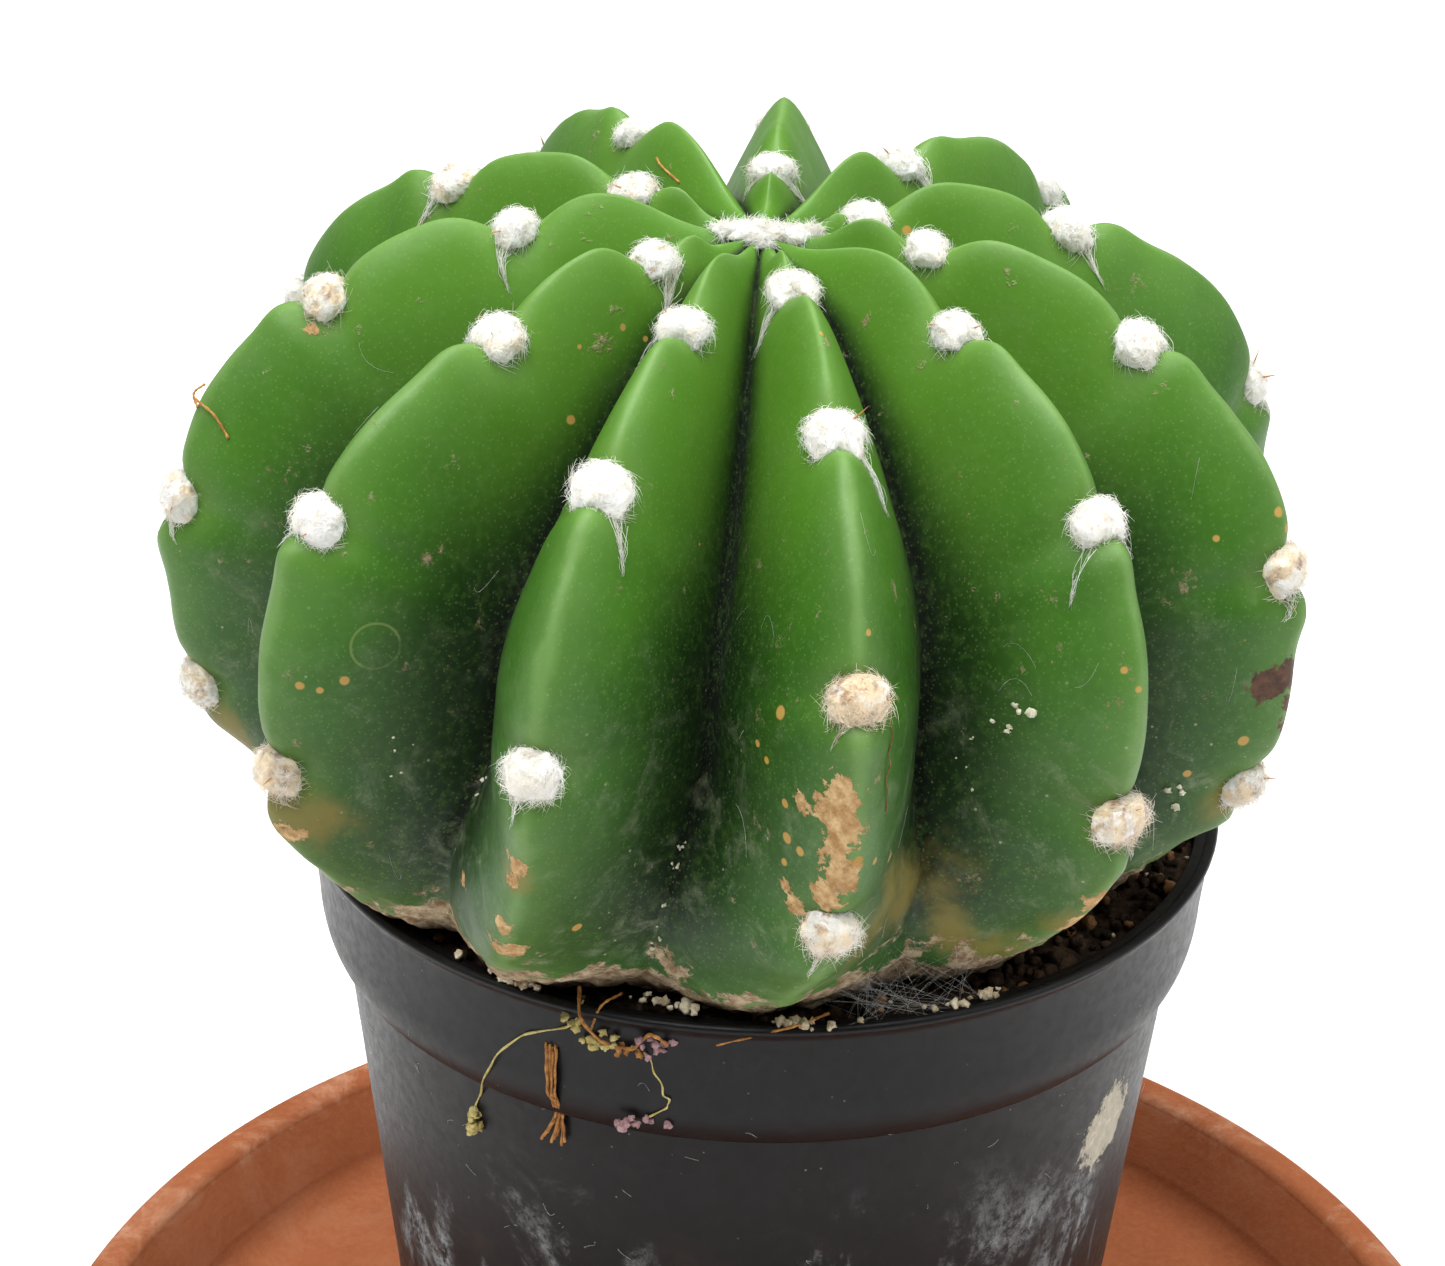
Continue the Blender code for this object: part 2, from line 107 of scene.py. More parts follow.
# azimuths at the crown, at the side and at the base, size, and where the areoles are; all in degrees
RIBS = (
    (-17, -19, -31, 1.00, (18, 43, 83)),
    (13, 10, 1, 0.98, (10, 33, 70, 101)),
    (49, 39, 37, 0.97, (22, 53, 94)),
    (79, 66, 64, 0.99, (12, 37, 76, 106)),
    (108, 107, 106, 0.97, (7, 30, 75, 103)),
    (142, 140, 140, 0.99, (18, 52, 86, 110)),
    (175, 178, 178, 1.00, (9, 47, 78, 104)),
    (207, 208, 208, 1.00, (24, 58, 93)),
    (242, 242, 242, 0.99, (10, 33, 72, 104)),
    (270, 283, 283, 1.01, (19, 42, 79, 104)),
    (312, 311, 311, 1.01, (9, 28, 61, 96)),
)
RIB_AZIMUTHS = np.array([rib[:3] for rib in RIBS], float)
RIB_SIZES = np.array([rib[3] for rib in RIBS])

# ---------------------------------------------------------------- places read from the frame
pot_low, pot_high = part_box("pot")
saucer_low, saucer_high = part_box("saucer")
POT_X = (pot_low.x + pot_high.x) / 2
POT_RIM = pot_high.z
POT_FOOT = pot_low.z
RIM_RADIUS = (pot_high.x - pot_low.x) / 2
SAUCER_RADIUS = (saucer_high.x - saucer_low.x) / 2
SAUCER_HEIGHT = saucer_high.z
COLLAR_FOOT = POT_RIM - COLLAR_HEIGHT
BODY_TOP_RADIUS = RIM_RADIUS - COLLAR_DRAFT - COLLAR_TURN_IN - COLLAR_STEP
POT_FOOT_RADIUS = BODY_TOP_RADIUS - POT_TAPER
SOIL_TOP = POT_RIM - SOIL_BELOW_RIM
PLANT = Matrix.Translation((POT_X + STEM_OFF_CENTRE, 0, POT_RIM + ABOVE_RIM))
PLANT = np.array(PLANT @ Euler((LEAN_FORWARD, LEAN_RIGHT, 0)).to_matrix().to_4x4())


def in_row(points):
    """Points of the plant's own frame, in the row frame."""
    return np.asarray(points) @ PLANT[:3, :3].T + PLANT[:3, 3]


# ---------------------------------------------------------------- meshes


def mesh_object(name, points, faces, slot, materials, face_material=None):
    """A piece that rides on the root body."""
    mesh = bpy.data.meshes.new(name)
    mesh.from_pydata(np.asarray(points).tolist(), [], [list(face) for face in faces])
    for material in materials:
        mesh.materials.append(material)
    mesh.shade_smooth()
    if face_material is not None:
        mesh.polygons.foreach_set("material_index", np.asarray(face_material, np.int32))
    piece = bpy.data.objects.new(name, mesh)
    bpy.context.scene.collection.objects.link(piece)
    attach(piece, "root")
    return piece


def set_attribute(piece, name, values):
    attribute = piece.data.attributes.new(name, "FLOAT", "POINT")
    attribute.data.foreach_set("value", np.asarray(values, np.float32))


def grid_faces(rows, columns):
    """Quads between rings of equal count, closed round."""
    first = np.arange(rows - 1)[:, None] * columns + np.arange(columns)[None, :]
    after = np.arange(rows - 1)[:, None] * columns + (np.arange(columns)[None, :] + 1) % columns
    return np.stack([first, first + columns, after + columns, after], -1).reshape(-1, 4)


def capped_rings(rings):
    """Points and faces of a closed skin through rings (rows, columns, 3), with a point at each end."""
    rows, columns = rings.shape[:2]
    points = rings.reshape(-1, 3)
    poles = np.array([rings[0].mean(0), rings[-1].mean(0)])
    faces = grid_faces(rows, columns).tolist()
    top, bottom = len(points), len(points) + 1
    last = (rows - 1) * columns
    for k in range(columns):
        after = (k + 1) % columns
        faces.append((top, k, after))
        faces.append((last + k, bottom, last + after))
    return np.vstack([points, poles]), faces


def turned(profile, segments, centre_x=0.0):
    """A closed skin from a profile of (radius, height), which starts and ends on the axis."""
    profile = np.asarray(profile)
    turn = np.arange(segments) * math.tau / segments
    inner = profile[1:-1]
    rings = np.empty((len(inner), segments, 3))
    rings[..., 0] = centre_x + inner[:, :1] * np.cos(turn)
    rings[..., 1] = inner[:, :1] * np.sin(turn)
    rings[..., 2] = inner[:, 1:2]
    points, faces = capped_rings(rings)
    points[-2:, 2] = profile[0, 1], profile[-1, 1]
    return points, faces


def arc(centre, radius, start, end, steps):
    turn = np.radians(np.linspace(start, end, steps + 1))
    return [(centre[0] + radius * math.cos(a), centre[1] + radius * math.sin(a)) for a in turn]


def unit(vectors):
    return vectors / np.maximum(np.linalg.norm(vectors, axis=-1, keepdims=True), 1e-12)


def strands(paths, radii, sides=3):
    """Points and faces of thin tubes along paths (n, steps, 3), with radii (n, steps)."""
    count, steps = paths.shape[:2]
    tangent = unit(np.gradient(paths, axis=1))
    across = np.cross(tangent, RNG.normal(size=(count, 1, 3)))
    across = unit(across)
    other = np.cross(tangent, across)
    turn = np.arange(sides) * math.tau / sides
    ring = across[:, :, None] * np.cos(turn)[:, None] + other[:, :, None] * np.sin(turn)[:, None]
    points = paths[:, :, None] + ring * radii[:, :, None, None]
    one = grid_faces(steps, sides)
    per = steps * sides
    quads = (one[None] + (np.arange(count) * per)[:, None, None]).reshape(-1, 4)
    faces = quads.tolist()
    for k in range(count):
        faces.append([k * per + side for side in range(sides)])
        faces.append([(k + 1) * per - 1 - side for side in range(sides)])
    return points.reshape(-1, 3), faces


def joined(parts):
    """One list of points and one of faces from several, and which part each face came from."""
    points, faces, which = [], [], []
    start = 0
    for number, (part_points, part_faces) in enumerate(parts):
        points.append(part_points)
        faces += [[start + v for v in face] for face in part_faces]
        which += [number] * len(part_faces)
        start += len(part_points)
    return np.vstack(points), faces, which


def ball(subdivisions):
    """Directions and faces of a unit icosphere."""
    sphere = bmesh.new()
    bmesh.ops.create_icosphere(sphere, subdivisions=subdivisions, radius=1.0)
    points = np.array([v.co[:] for v in sphere.verts])
    faces = [[v.index for v in face.verts] for face in sphere.faces]
    sphere.free()
    return points, faces


def bumpy(points, scale, seed):
    """Smooth noise from -1 to 1 at each point; scale is in lumps per metre."""
    shift = Vector((seed * 3.7, seed * 1.3, seed * 7.1))
    return np.array([noise.noise(Vector(p) * scale + shift) for p in points])


# ---------------------------------------------------------------- materials


class Look:
    """A material built from nodes on one Principled shader."""

    def __init__(self, name, **sockets):
        self.material = bpy.data.materials.new(name)
        self.material.use_nodes = True
        self.tree = self.material.node_tree
        self.shader = self.tree.nodes["Principled BSDF"]
        for socket, value in sockets.items():
            self.shader.inputs[socket.replace("_", " ")].default_value = value
        self.place = self.add("ShaderNodeTexCoord").outputs["Object"]

    def add(self, kind, inputs=(), **settings):
        node = self.tree.nodes.new(kind)
        for name, value in settings.items():
            setattr(node, name, value)
        for socket, value in dict(inputs).items():
            self.plug(node.inputs[socket], value)
        return node

    def plug(self, socket, value):
        if isinstance(value, bpy.types.NodeSocket):
            self.tree.links.new(value, socket)
        elif isinstance(value, tuple) and len(value) == 3 and socket.type == "RGBA":
            socket.default_value = (*value, 1.0)
        else:
            socket.default_value = value

    def attribute(self, name):
        return self.add("ShaderNodeAttribute", attribute_name=name).outputs["Fac"]

    def stretched(self, x, y, z):
        inputs = {0: self.place, 1: (x, y, z)}
        return self.add("ShaderNodeVectorMath", inputs, operation="MULTIPLY").outputs[0]

    def noise(self, scale, detail=4.0, roughness=0.55, distortion=0.0, place=None):
        inputs = {"Vector": place or self.place, "Scale": scale, "Detail": detail}
        inputs |= {"Roughness": roughness, "Distortion": distortion}
        return self.add("ShaderNodeTexNoise", inputs).outputs["Fac"]

    def cells(self, scale, feature="F1", output="Distance", place=None):
        inputs = {"Vector": place or self.place, "Scale": scale}
        return self.add("ShaderNodeTexVoronoi", inputs, feature=feature).outputs[output]

    def maths(self, operation, a, b=0.0):
        return self.add("ShaderNodeMath", {0: a, 1: b}, operation=operation).outputs[0]

    def times(self, a, b):
        return self.maths("MULTIPLY", a, b)

    def plus(self, a, b):
        return self.maths("ADD", a, b)

    def step(self, value, low, high, start=0.0, end=1.0):
        """A smooth ramp from start to end as value goes from low to high."""
        inputs = {"Value": value, "From Min": low, "From Max": high, "To Min": start, "To Max": end}
        node = self.add("ShaderNodeMapRange", inputs, interpolation_type="SMOOTHSTEP")
        return node.outputs["Result"]

    def mix(self, factor, a, b, kind="MIX"):
        node = self.tree.nodes.new("ShaderNodeMix")
        node.data_type = "RGBA"
        node.blend_type = kind
        node.clamp_factor = True
        for socket, value in ((0, factor), (6, a), (7, b)):
            self.plug(node.inputs[socket], value)
        return node.outputs[2]

    def height(self):
        parts = self.add("ShaderNodeSeparateXYZ", {0: self.place})
        return parts.outputs["Z"]

    def distance(self, centre):
        """How far away a point in the row frame is."""
        inputs = {0: self.place, 1: tuple(centre)}
        return self.add("ShaderNodeVectorMath", inputs, operation="DISTANCE").outputs["Value"]

    def finish(self, colour, roughness, *bumps):
        """Bumps are (height, strength, distance in metres)."""
        self.plug(self.shader.inputs["Base Color"], colour)
        self.plug(self.shader.inputs["Roughness"], roughness)
        normal = None
        for value, strength, distance in bumps:
            inputs = {"Height": value, "Strength": strength, "Distance": distance}
            if normal:
                inputs["Normal"] = normal
            normal = self.add("ShaderNodeBump", inputs).outputs["Normal"]
        if normal:
            self.plug(self.shader.inputs["Normal"], normal)
        return self.material


def skin_look():
    look = Look("stem_skin", IOR=1.42, Specular_IOR_Level=0.34)
    groove = look.attribute("groove")
    down = look.attribute("down")
    cloud = look.noise(45, 3)
    blotch = look.noise(160, 4, 0.6)
    grain = look.noise(1400, 3, 0.6)
    green = look.mix(look.step(cloud, 0.35, 0.7), (0.024, 0.094, 0.0055), (0.045, 0.150, 0.008))
    green = look.mix(look.step(down, 0.52, 0.9, 0.0, 0.75), green, (0.026, 0.068, 0.018))
    # painted shade: the green darkens across each flank towards its groove
    green = look.mix(look.step(groove, 0.24, 0.86, 0.0, 0.94), green, (0.004, 0.015, 0.003))
    crest = look.plus(groove, look.step(blotch, 0.3, 0.7, -0.03, 0.03))
    # painted shade: nearly black in the crease at the bottom of each groove
    crease = look.step(groove, 0.86, 0.97)
    green = look.mix(crease, green, (0.0012, 0.005, 0.001))
    # painted light from above: the upper half of the stem is mixed towards a lighter green, less so in the
    # grooves
    painted_top_light = look.times(look.step(down, 0.50, 0.08), look.step(groove, 0.97, 0.6))
    green = look.mix(look.times(painted_top_light, 0.75), green, (0.095, 0.245, 0.018))
    # painted highlight: lighter green along each crest, with a brighter narrow line on the crest itself
    green = look.mix(look.step(crest, 0.0, 0.34, 0.34, 0.0), green, (0.135, 0.270, 0.060))
    green = look.mix(look.step(crest, 0.0, 0.09, 0.30, 0.0), green, (0.230, 0.370, 0.130))
    green = look.mix(look.times(look.attribute("rim"), 0.16), green, (0.16, 0.28, 0.05))
    green = look.mix(look.step(grain, 0.45, 0.75, 0.0, 0.22), green, (0.09, 0.20, 0.03))
    pores = look.step(look.cells(2300), 0.12, 0.30, 0.20, 0.0)
    green = look.mix(pores, green, (0.20, 0.34, 0.10))
    # dust and water marks, more of them low down
    dust_noise = look.noise(260, 6, 0.7, 0.6)
    dust = look.times(look.step(dust_noise, 0.50, 0.74), look.step(down, 0.45, 0.95, 0.05, 0.5))
    colour = look.mix(dust, green, (0.24, 0.27, 0.17))
    specks = look.step(look.cells(420), 0.035, 0.075, 0.55, 0.0)
    specks = look.times(specks, look.step(down, 0.35, 0.9, 0.0, 0.9))
    colour = look.mix(specks, colour, (0.45, 0.47, 0.34))
    # old corky dots
    dot_size = look.times(look.cells(95, output="Color"), 0.062)
    dots = look.maths("SUBTRACT", look.cells(95), look.maths("SUBTRACT", dot_size, 0.020))
    dots = look.step(dots, 0.0, 0.014, 0.9, 0.0)
    colour = look.mix(dots, colour, (0.46, 0.27, 0.045))
    # olive patches, cork and scars
    ochre = look.plus(look.attribute("ochre"), look.step(blotch, 0.2, 0.8, -0.45, 0.35))
    colour = look.mix(look.step(ochre, 0.22, 0.95, 0.0, 0.8), colour, (0.185, 0.145, 0.030))
    ragged = look.step(look.noise(760, 5, 0.7), 0.22, 0.78, -0.40, 0.40)
    cork = look.step(look.plus(look.attribute("cork"), ragged), 0.46, 0.54)
    cork_tone = look.step(look.noise(900, 5, 0.7), 0.3, 0.7)
    tan = look.mix(cork_tone, (0.33, 0.17, 0.06), (0.64, 0.45, 0.23))
    colour = look.mix(cork, colour, tan)
    edge_noise = look.step(look.noise(300, 5, 0.7), 0.25, 0.75, -0.55, 0.55)
    heel = look.step(look.plus(look.attribute("heel"), edge_noise), 0.40, 0.62)
    heel_colour = look.mix(cork_tone, (0.16, 0.085, 0.04), (0.50, 0.40, 0.26))
    colour = look.mix(heel, colour, heel_colour)
    for rib, across, degrees, radius in DOT_MARKS:
        away = look.distance(in_row(flank_point(rib, across, degrees)))
        away = look.plus(away, look.step(blotch, 0.3, 0.7, -0.12 * MM, 0.12 * MM))
        dot = look.step(away, 0.75 * radius * MM, 1.1 * radius * MM, 0.9, 0.0)
        colour = look.mix(dot, colour, (0.44, 0.26, 0.065))
    for rib, across, degrees, radius, width, strength in RING_MARKS:
        away = look.distance(in_row(flank_point(rib, across, degrees)))
        off = look.maths("ABSOLUTE", look.maths("SUBTRACT", away, radius * MM))
        ring = look.step(off, width * 0.3 * MM, width * MM, strength, 0.0)
        ring = look.times(ring, look.step(blotch, 0.38, 0.5, 0.3, 1.0))
        colour = look.mix(ring, colour, (0.33, 0.38, 0.13))
    dark = look.step(look.plus(look.attribute("dark"), ragged), 0.45, 0.6)
    colour = look.mix(dark, colour, look.mix(cork_tone, (0.030, 0.012, 0.005), (0.11, 0.045, 0.02)))
    rough = look.plus(look.step(blotch, 0.3, 0.7, 0.44, 0.56), look.times(dust, 0.3))
    dull = look.maths("MAXIMUM", look.maths("MAXIMUM", cork, heel), crease)
    rough = look.mix(dull, rough, (0.95, 0.95, 0.95))
    relief = look.plus(look.times(cork, 0.6), look.times(cork_tone, cork))
    relief = look.plus(relief, look.times(heel, cork_tone))
    return look.finish(
        colour,
        rough,
        (blotch, 0.25, 0.0006),
        (grain, 0.14, 0.00012),
        (relief, 0.6, 0.0004),
    )


def wool_look():
    look = Look("areole_wool", IOR=1.3, Sheen_Weight=0.6, Sheen_Roughness=0.5, Subsurface_Weight=0.5,
                Subsurface_Radius=(0.0012, 0.0011, 0.0009), Subsurface_Scale=1.0)
    age = look.attribute("age")
    mottle = look.noise(700, 4, 0.65)
    aged = look.plus(age, look.step(mottle, 0.3, 0.7, -0.45, 0.45))
    fresh = look.mix(look.step(look.noise(420, 3), 0.35, 0.7), (1.0, 0.99, 0.95), (0.97, 0.92, 0.80))
    fleck = look.step(look.noise(1700, 3), 0.60, 0.74, 0.0, 0.4)
    fresh = look.mix(fleck, fresh, (0.66, 0.46, 0.32))
    cream = look.mix(look.noise(1500, 3), (0.80, 0.58, 0.33), (1.0, 0.88, 0.64))
    old = look.mix(look.step(look.noise(600, 4), 0.45, 0.68), cream, (0.30, 0.16, 0.075))
    colour = look.mix(look.step(aged, 0.15, 0.75), fresh, old)
    return look.finish(colour, look.step(mottle, 0.2, 0.8, 0.85, 1.0), (look.noise(2600, 2), 0.5, 0.00015))


def spine_look():
    look = Look("spine", IOR=1.5)
    tone = look.noise(900, 3)
    colour = look.mix(tone, (0.30, 0.09, 0.02), (0.62, 0.33, 0.10))
    return look.finish(colour, look.step(tone, 0.2, 0.8, 0.35, 0.6), (look.noise(5000, 2), 0.2, 0.00005))


def pot_look():
    look = Look("black_plastic", IOR=1.5, Specular_IOR_Level=0.17)
    height = look.height()
    cloud = look.noise(60, 4, 0.6, 0.4)
    fine = look.noise(900, 4, 0.65)
    plastic = look.mix(cloud, (0.004, 0.004, 0.0043), (0.008, 0.0077, 0.008))
    film = look.times(look.step(look.noise(240, 7, 0.75, 1.0), 0.5, 0.85), 0.05)
    colour = look.mix(film, plastic, (0.20, 0.20, 0.20))
    motes = look.step(look.cells(520), 0.03, 0.07, 0.5, 0.0)
    motes = look.times(motes, look.step(cloud, 0.35, 0.65, 0.1, 1.0))
    colour = look.mix(motes, colour, (0.32, 0.31, 0.29))
    # limescale below the collar, washed down in patches
    runs = look.noise(70, 7, 0.68, 0.9, look.stretched(1.0, 1.0, 0.55))
    low = look.step(height, COLLAR_FOOT - 4 * MM, COLLAR_FOOT - 24 * MM)
    lime = look.times(look.step(runs, 0.50, 0.66), low)
    crust = look.step(look.noise(650, 6, 0.8), 0.38, 0.62)
    lime = look.times(lime, crust)
    away = look.distance((POT_X + 31.5 * MM, -20.5 * MM, COLLAR_FOOT - 10.5 * MM))
    patch = look.step(away, 0.0, 8 * MM, 1.0, 0.0)
    patch_edge = look.plus(patch, look.step(look.noise(420, 6, 0.75), 0.2, 0.8, -0.45, 0.3))
    cream = look.step(patch_edge, 0.30, 0.46)
    colour = look.mix(look.times(lime, 0.75), colour, (0.50, 0.51, 0.52))
    colour = look.mix(cream, colour, look.mix(fine, (0.45, 0.40, 0.31), (0.75, 0.70, 0.58)))
    stain = look.times(look.step(look.noise(110, 5, 0.6), 0.55, 0.7), low)
    colour = look.mix(look.times(stain, 0.35), colour, (0.05, 0.028, 0.016))
    rough = look.plus(look.step(fine, 0.3, 0.7, 0.34, 0.46), look.times(film, 0.8))
    rough = look.mix(look.maths("MAXIMUM", lime, cream), rough, (0.92, 0.92, 0.92))
    build_up = look.plus(look.times(lime, 0.5), cream)
    return look.finish(
        colour, rough, (fine, 0.08, 0.0001), (look.times(build_up, crust), 0.7, 0.0003)
    )


def clay_look():
    look = Look("clay", IOR=1.45, Specular_IOR_Level=0.25)
    height = look.height()
    cloud = look.noise(30, 4, 0.6)
    grit = look.noise(1300, 4, 0.7)
    clay = look.mix(look.step(cloud, 0.3, 0.7), (0.25, 0.068, 0.022), (0.33, 0.100, 0.037))
    clay = look.mix(look.step(grit, 0.35, 0.75, 0.0, 0.4), clay, (0.38, 0.145, 0.062))
    damp = look.step(height, SAUCER_FLOOR - 0.2 * MM, SAUCER_FLOOR + 4 * MM)
    damp = look.times(damp, look.step(height, SAUCER_HEIGHT - 2.5 * MM, SAUCER_HEIGHT - 5 * MM))
    colour = look.mix(look.times(damp, 0.2), clay, (0.19, 0.055, 0.02))
    chalk = look.step(look.noise(95, 6, 0.7, 0.5), 0.48, 0.72)
    pale = look.step(height, SAUCER_HEIGHT - 2.4 * MM, SAUCER_HEIGHT - 0.2 * MM, 0.15, 0.85)
    colour = look.mix(look.times(chalk, pale), colour, (0.50, 0.27, 0.165))
    pits = look.step(look.cells(700), 0.06, 0.14, 0.55, 0.0)
    colour = look.mix(pits, colour, (0.28, 0.08, 0.03))
    rough = look.step(grit, 0.2, 0.8, 0.75, 0.95)
    turning = look.noise(1.0, 2, 0.5, 0.0, look.stretched(25, 25, 900))
    return look.finish(colour, rough, (grit, 0.35, 0.0002), (turning, 0.12, 0.0003), (pits, -0.4, 0.0002))


def soil_look():
    look = Look("soil", IOR=1.4, Specular_IOR_Level=0.2)
    crumb = look.noise(500, 6, 0.75)
    tone = look.noise(2300, 4, 0.7)
    colour = look.mix(look.step(crumb, 0.35, 0.7), (0.012, 0.008, 0.006), (0.075, 0.045, 0.025))
    colour = look.mix(look.step(tone, 0.55, 0.8, 0.0, 0.6), colour, (0.16, 0.10, 0.055))
    rough = look.step(tone, 0.2, 0.8, 0.8, 1.0)
    return look.finish(colour, rough, (crumb, 0.9, 0.0006), (tone, 0.6, 0.0002))


def plain_look(name, dark, light, scale, roughness=0.85, depth=0.0002):
    """Grains and fibres: two tones and a fine relief."""
    look = Look(name, IOR=1.4, Specular_IOR_Level=0.3)
    tone = look.noise(scale, 5, 0.65)
    fine = look.noise(scale * 4, 4, 0.7)
    colour = look.mix(look.step(tone, 0.32, 0.68), dark, light)
    rough = look.step(fine, 0.2, 0.8, roughness - 0.1, min(roughness + 0.1, 1.0))
    return look.finish(colour, rough, (fine, 0.6, depth))


def floor_look():
    look = Look("pale_floor", IOR=1.4, Specular_IOR_Level=0.1, Emission_Color=(1.0, 1.0, 1.0, 1.0),
                Emission_Strength=0.24)
    tone = look.noise(9, 3)
    colour = look.mix(tone, (0.88, 0.88, 0.875), (0.91, 0.91, 0.905))
    return look.finish(colour, look.step(tone, 0.2, 0.8, 0.85, 0.95), (look.noise(1500, 3), 0.05, 0.0001))


# ---------------------------------------------------------------- stem


def ease(low, high, value):
    share = np.clip((value - low) / (high - low), 0.0, 1.0)
    return share * share * (3 - 2 * share)


def crest(angle):
    """(radius, height) of the crest line at an angle from the crown."""
    upper = angle <= math.pi / 2
    power = 2 / np.where(upper, TOP_FULLNESS, BOTTOM_FULLNESS)
    rise = np.where(upper, STEM_TOP, -STEM_BOTTOM)
    tuck = 1 - HEEL_TUCK * ease(HEEL_START, BASE_ANGLE, angle)
    radius = STEM_RADIUS * tuck * np.sin(angle) ** power
    dip = CROWN_DIP * np.exp(-((radius / CROWN_DIP_RADIUS) ** 2))
    return radius, STEM_WIDEST + rise * np.abs(np.cos(angle)) ** power - dip


def crest_normal(angle):
    """(outward, upward) across the crest line."""
    step = math.radians(0.5)
    low, high = crest(np.maximum(angle - step, step)), crest(angle + step)
    out, up = high[0] - low[0], high[1] - low[1]
    length = np.hypot(out, up)
    return -up / length, out / length


def rib_azimuth(index, angle):
    top, side, base = np.moveaxis(RIB_AZIMUTHS[index], -1, 0)
    quarter = math.pi / 2
    above = np.maximum((quarter - angle) / quarter, 0.0) ** 1.5
    below = np.maximum((angle - quarter) / math.radians(40), 0.0) ** 1.5
    return side + (top - side) * above + (base - side) * below


def areole_dips(index, angle):
    """How far the crest dips at its areoles, less its bulges under and between them."""
    dips = np.zeros_like(angle)
    for number, rib in enumerate(RIBS):
        mine = index == number
        for areole in rib[4]:
            along = (angle - math.radians(areole)) * STEM_RADIUS
            dip = NOTCH_DEPTH * np.exp(-((along / NOTCH_LENGTH) ** 2))
            chin = CHIN * np.exp(-(((along - CHIN_BELOW) / CHIN_LENGTH) ** 2))
            dips = np.where(mine, dips + dip - chin, dips)
        stops = np.radians([math.degrees(CROWN_ANGLE), *rib[4], math.degrees(BASE_ANGLE)])
        for above, below in zip(stops[:-1], stops[1:]):
            share = np.clip((angle - above) / (below - above), 0, 1)
            hump = HUMP * math.cos(min((above + below) / 2, math.pi / 2)) ** 2 * np.sin(math.pi * share) ** 2
            dips = np.where(mine, dips - hump, dips)
    return dips


def around(azimuth, radius, height):
    turn = np.radians(azimuth)
    return np.stack([radius * np.sin(turn), -radius * np.cos(turn), height + 0 * turn], -1)


def surface(index, between, angle):
    """Points of the skin, between the crest of one rib (0) and the crest of the next (1)."""
    index = np.asarray(index)
    between = np.asarray(between, float)
    angle = np.asarray(angle, float)
    following = (index + 1) % len(RIBS)
    radius, height = crest(angle)
    size = RIB_SIZES[index] + (RIB_SIZES[following] - RIB_SIZES[index]) * between
    share = 1 - np.abs(2 * between - 1)
    low = ease(FLATTEN_FROM, BASE_ANGLE, angle)
    fade = 1 - RIB_FADE * ease(HEEL_START - 0.2, BASE_ANGLE - 0.05, angle)
    rise = np.tanh((radius / RIB_RISE) ** RIB_RISE_POWER)
    roundness = CREST_ROUND * STEM_RADIUS / np.maximum(radius, CREST_ROUND_WITHIN)
    rounded = np.hypot(share, roundness) - roundness
    groove = (rounded / (np.hypot(1.0, roundness) - roundness)) ** GROOVE_SHARPNESS
    nearest = np.where(between < 0.5, index, following)
    dip = areole_dips(nearest, angle) * (1 - share) ** 2
    height = height + (size - 1) * (height - STEM_WIDEST) * radius / STEM_RADIUS
    out, up = crest_normal(angle)
    out, up = out + (1 - out) * low, up * (1 - low)
    inward = RIB_HEIGHT * rise * fade * groove + dip
    start = rib_azimuth(index, angle)
    azimuth = start + ((rib_azimuth(following, angle) - start) % 360) * between
    sag = FRONT_SAG * low * np.cos(np.radians(azimuth)).clip(0)
    return around(azimuth, radius * size - out * inward, height - up * inward - sag)


# Marks on the skin: rib, share of the flank towards the next rib (or back, if below 0), degrees from
# the crown, and radius in millimetres.
CORK_MARKS = (
    (1, -0.10, 82.5, 1.5), (1, -0.13, 85.0, 1.9), (1, -0.06, 87.0, 1.6), (1, -0.10, 89.5, 1.5),
    (1, -0.08, 92.0, 1.6), (1, -0.12, 94.5, 1.5), (1, -0.10, 96.5, 1.1), (1, -0.30, 86.0, 0.95),
    (1, -0.33, 97.5, 0.7), (1, -0.23, 99.5, 0.9), (1, -0.02, 101.0, 1.0), (0, -0.07, 93.5, 1.1),
    (0, -0.07, 96.0, 0.8), (0, -0.05, 103.5, 1.0), (0, 0.02, 108.0, 1.4), (0, -0.64, 109.0, 0.8),
    (2, 0.0, 106.5, 1.4), (2, 0.04, 112.0, 1.8), (10, 0.10, 104.0, 1.3), (6, 0.10, 84.0, 1.8),
    (6, 0.20, 88.0, 1.2), (7, -0.15, 100.0, 1.6), (9, 0.22, 45.0, 0.8),
)
DOT_MARKS = (
    (1, -0.40, 87.5, 0.45), (1, -0.38, 91.0, 0.50), (1, -0.30, 91.5, 0.40), (1, -0.37, 94.5, 0.45),
    (1, -0.46, 73.5, 0.60), (1, -0.60, 81.5, 0.35), (1, 0.03, 90.0, 0.45), (1, 0.17, 91.5, 0.40),
    (1, 0.40, 96.0, 0.50), (1, 0.07, 61.0, 0.35), (1, 0.03, 21.5, 0.30), (0, 0.40, 107.0, 0.40),
    (0, 0.73, 40.0, 0.25), (10, 0.73, 26.5, 0.45), (10, 0.50, 21.5, 0.30), (10, 0.63, 16.0, 0.30),
    (10, 0.83, 14.0, 0.30), (10, 0.20, 84.5, 0.45), (10, 0.28, 85.0, 0.35), (10, 0.37, 83.5, 0.45),
    (2, -0.10, 74.0, 0.45), (2, -0.03, 77.0, 0.35), (2, 0.70, 9.5, 0.35), (3, -0.06, 67.0, 0.50),
    (3, 0.0, 70.0, 0.40), (3, -0.37, 66.5, 0.35), (3, -0.23, 98.0, 0.50), (3, -0.45, 104.0, 0.40),
    (4, -0.50, 10.5, 0.40), (5, 0.15, 66.0, 0.60), (5, -0.30, 80.0, 0.50), (7, 0.30, 70.0, 0.50),
    (8, -0.25, 60.0, 0.50), (6, -0.30, 58.0, 0.40),
)
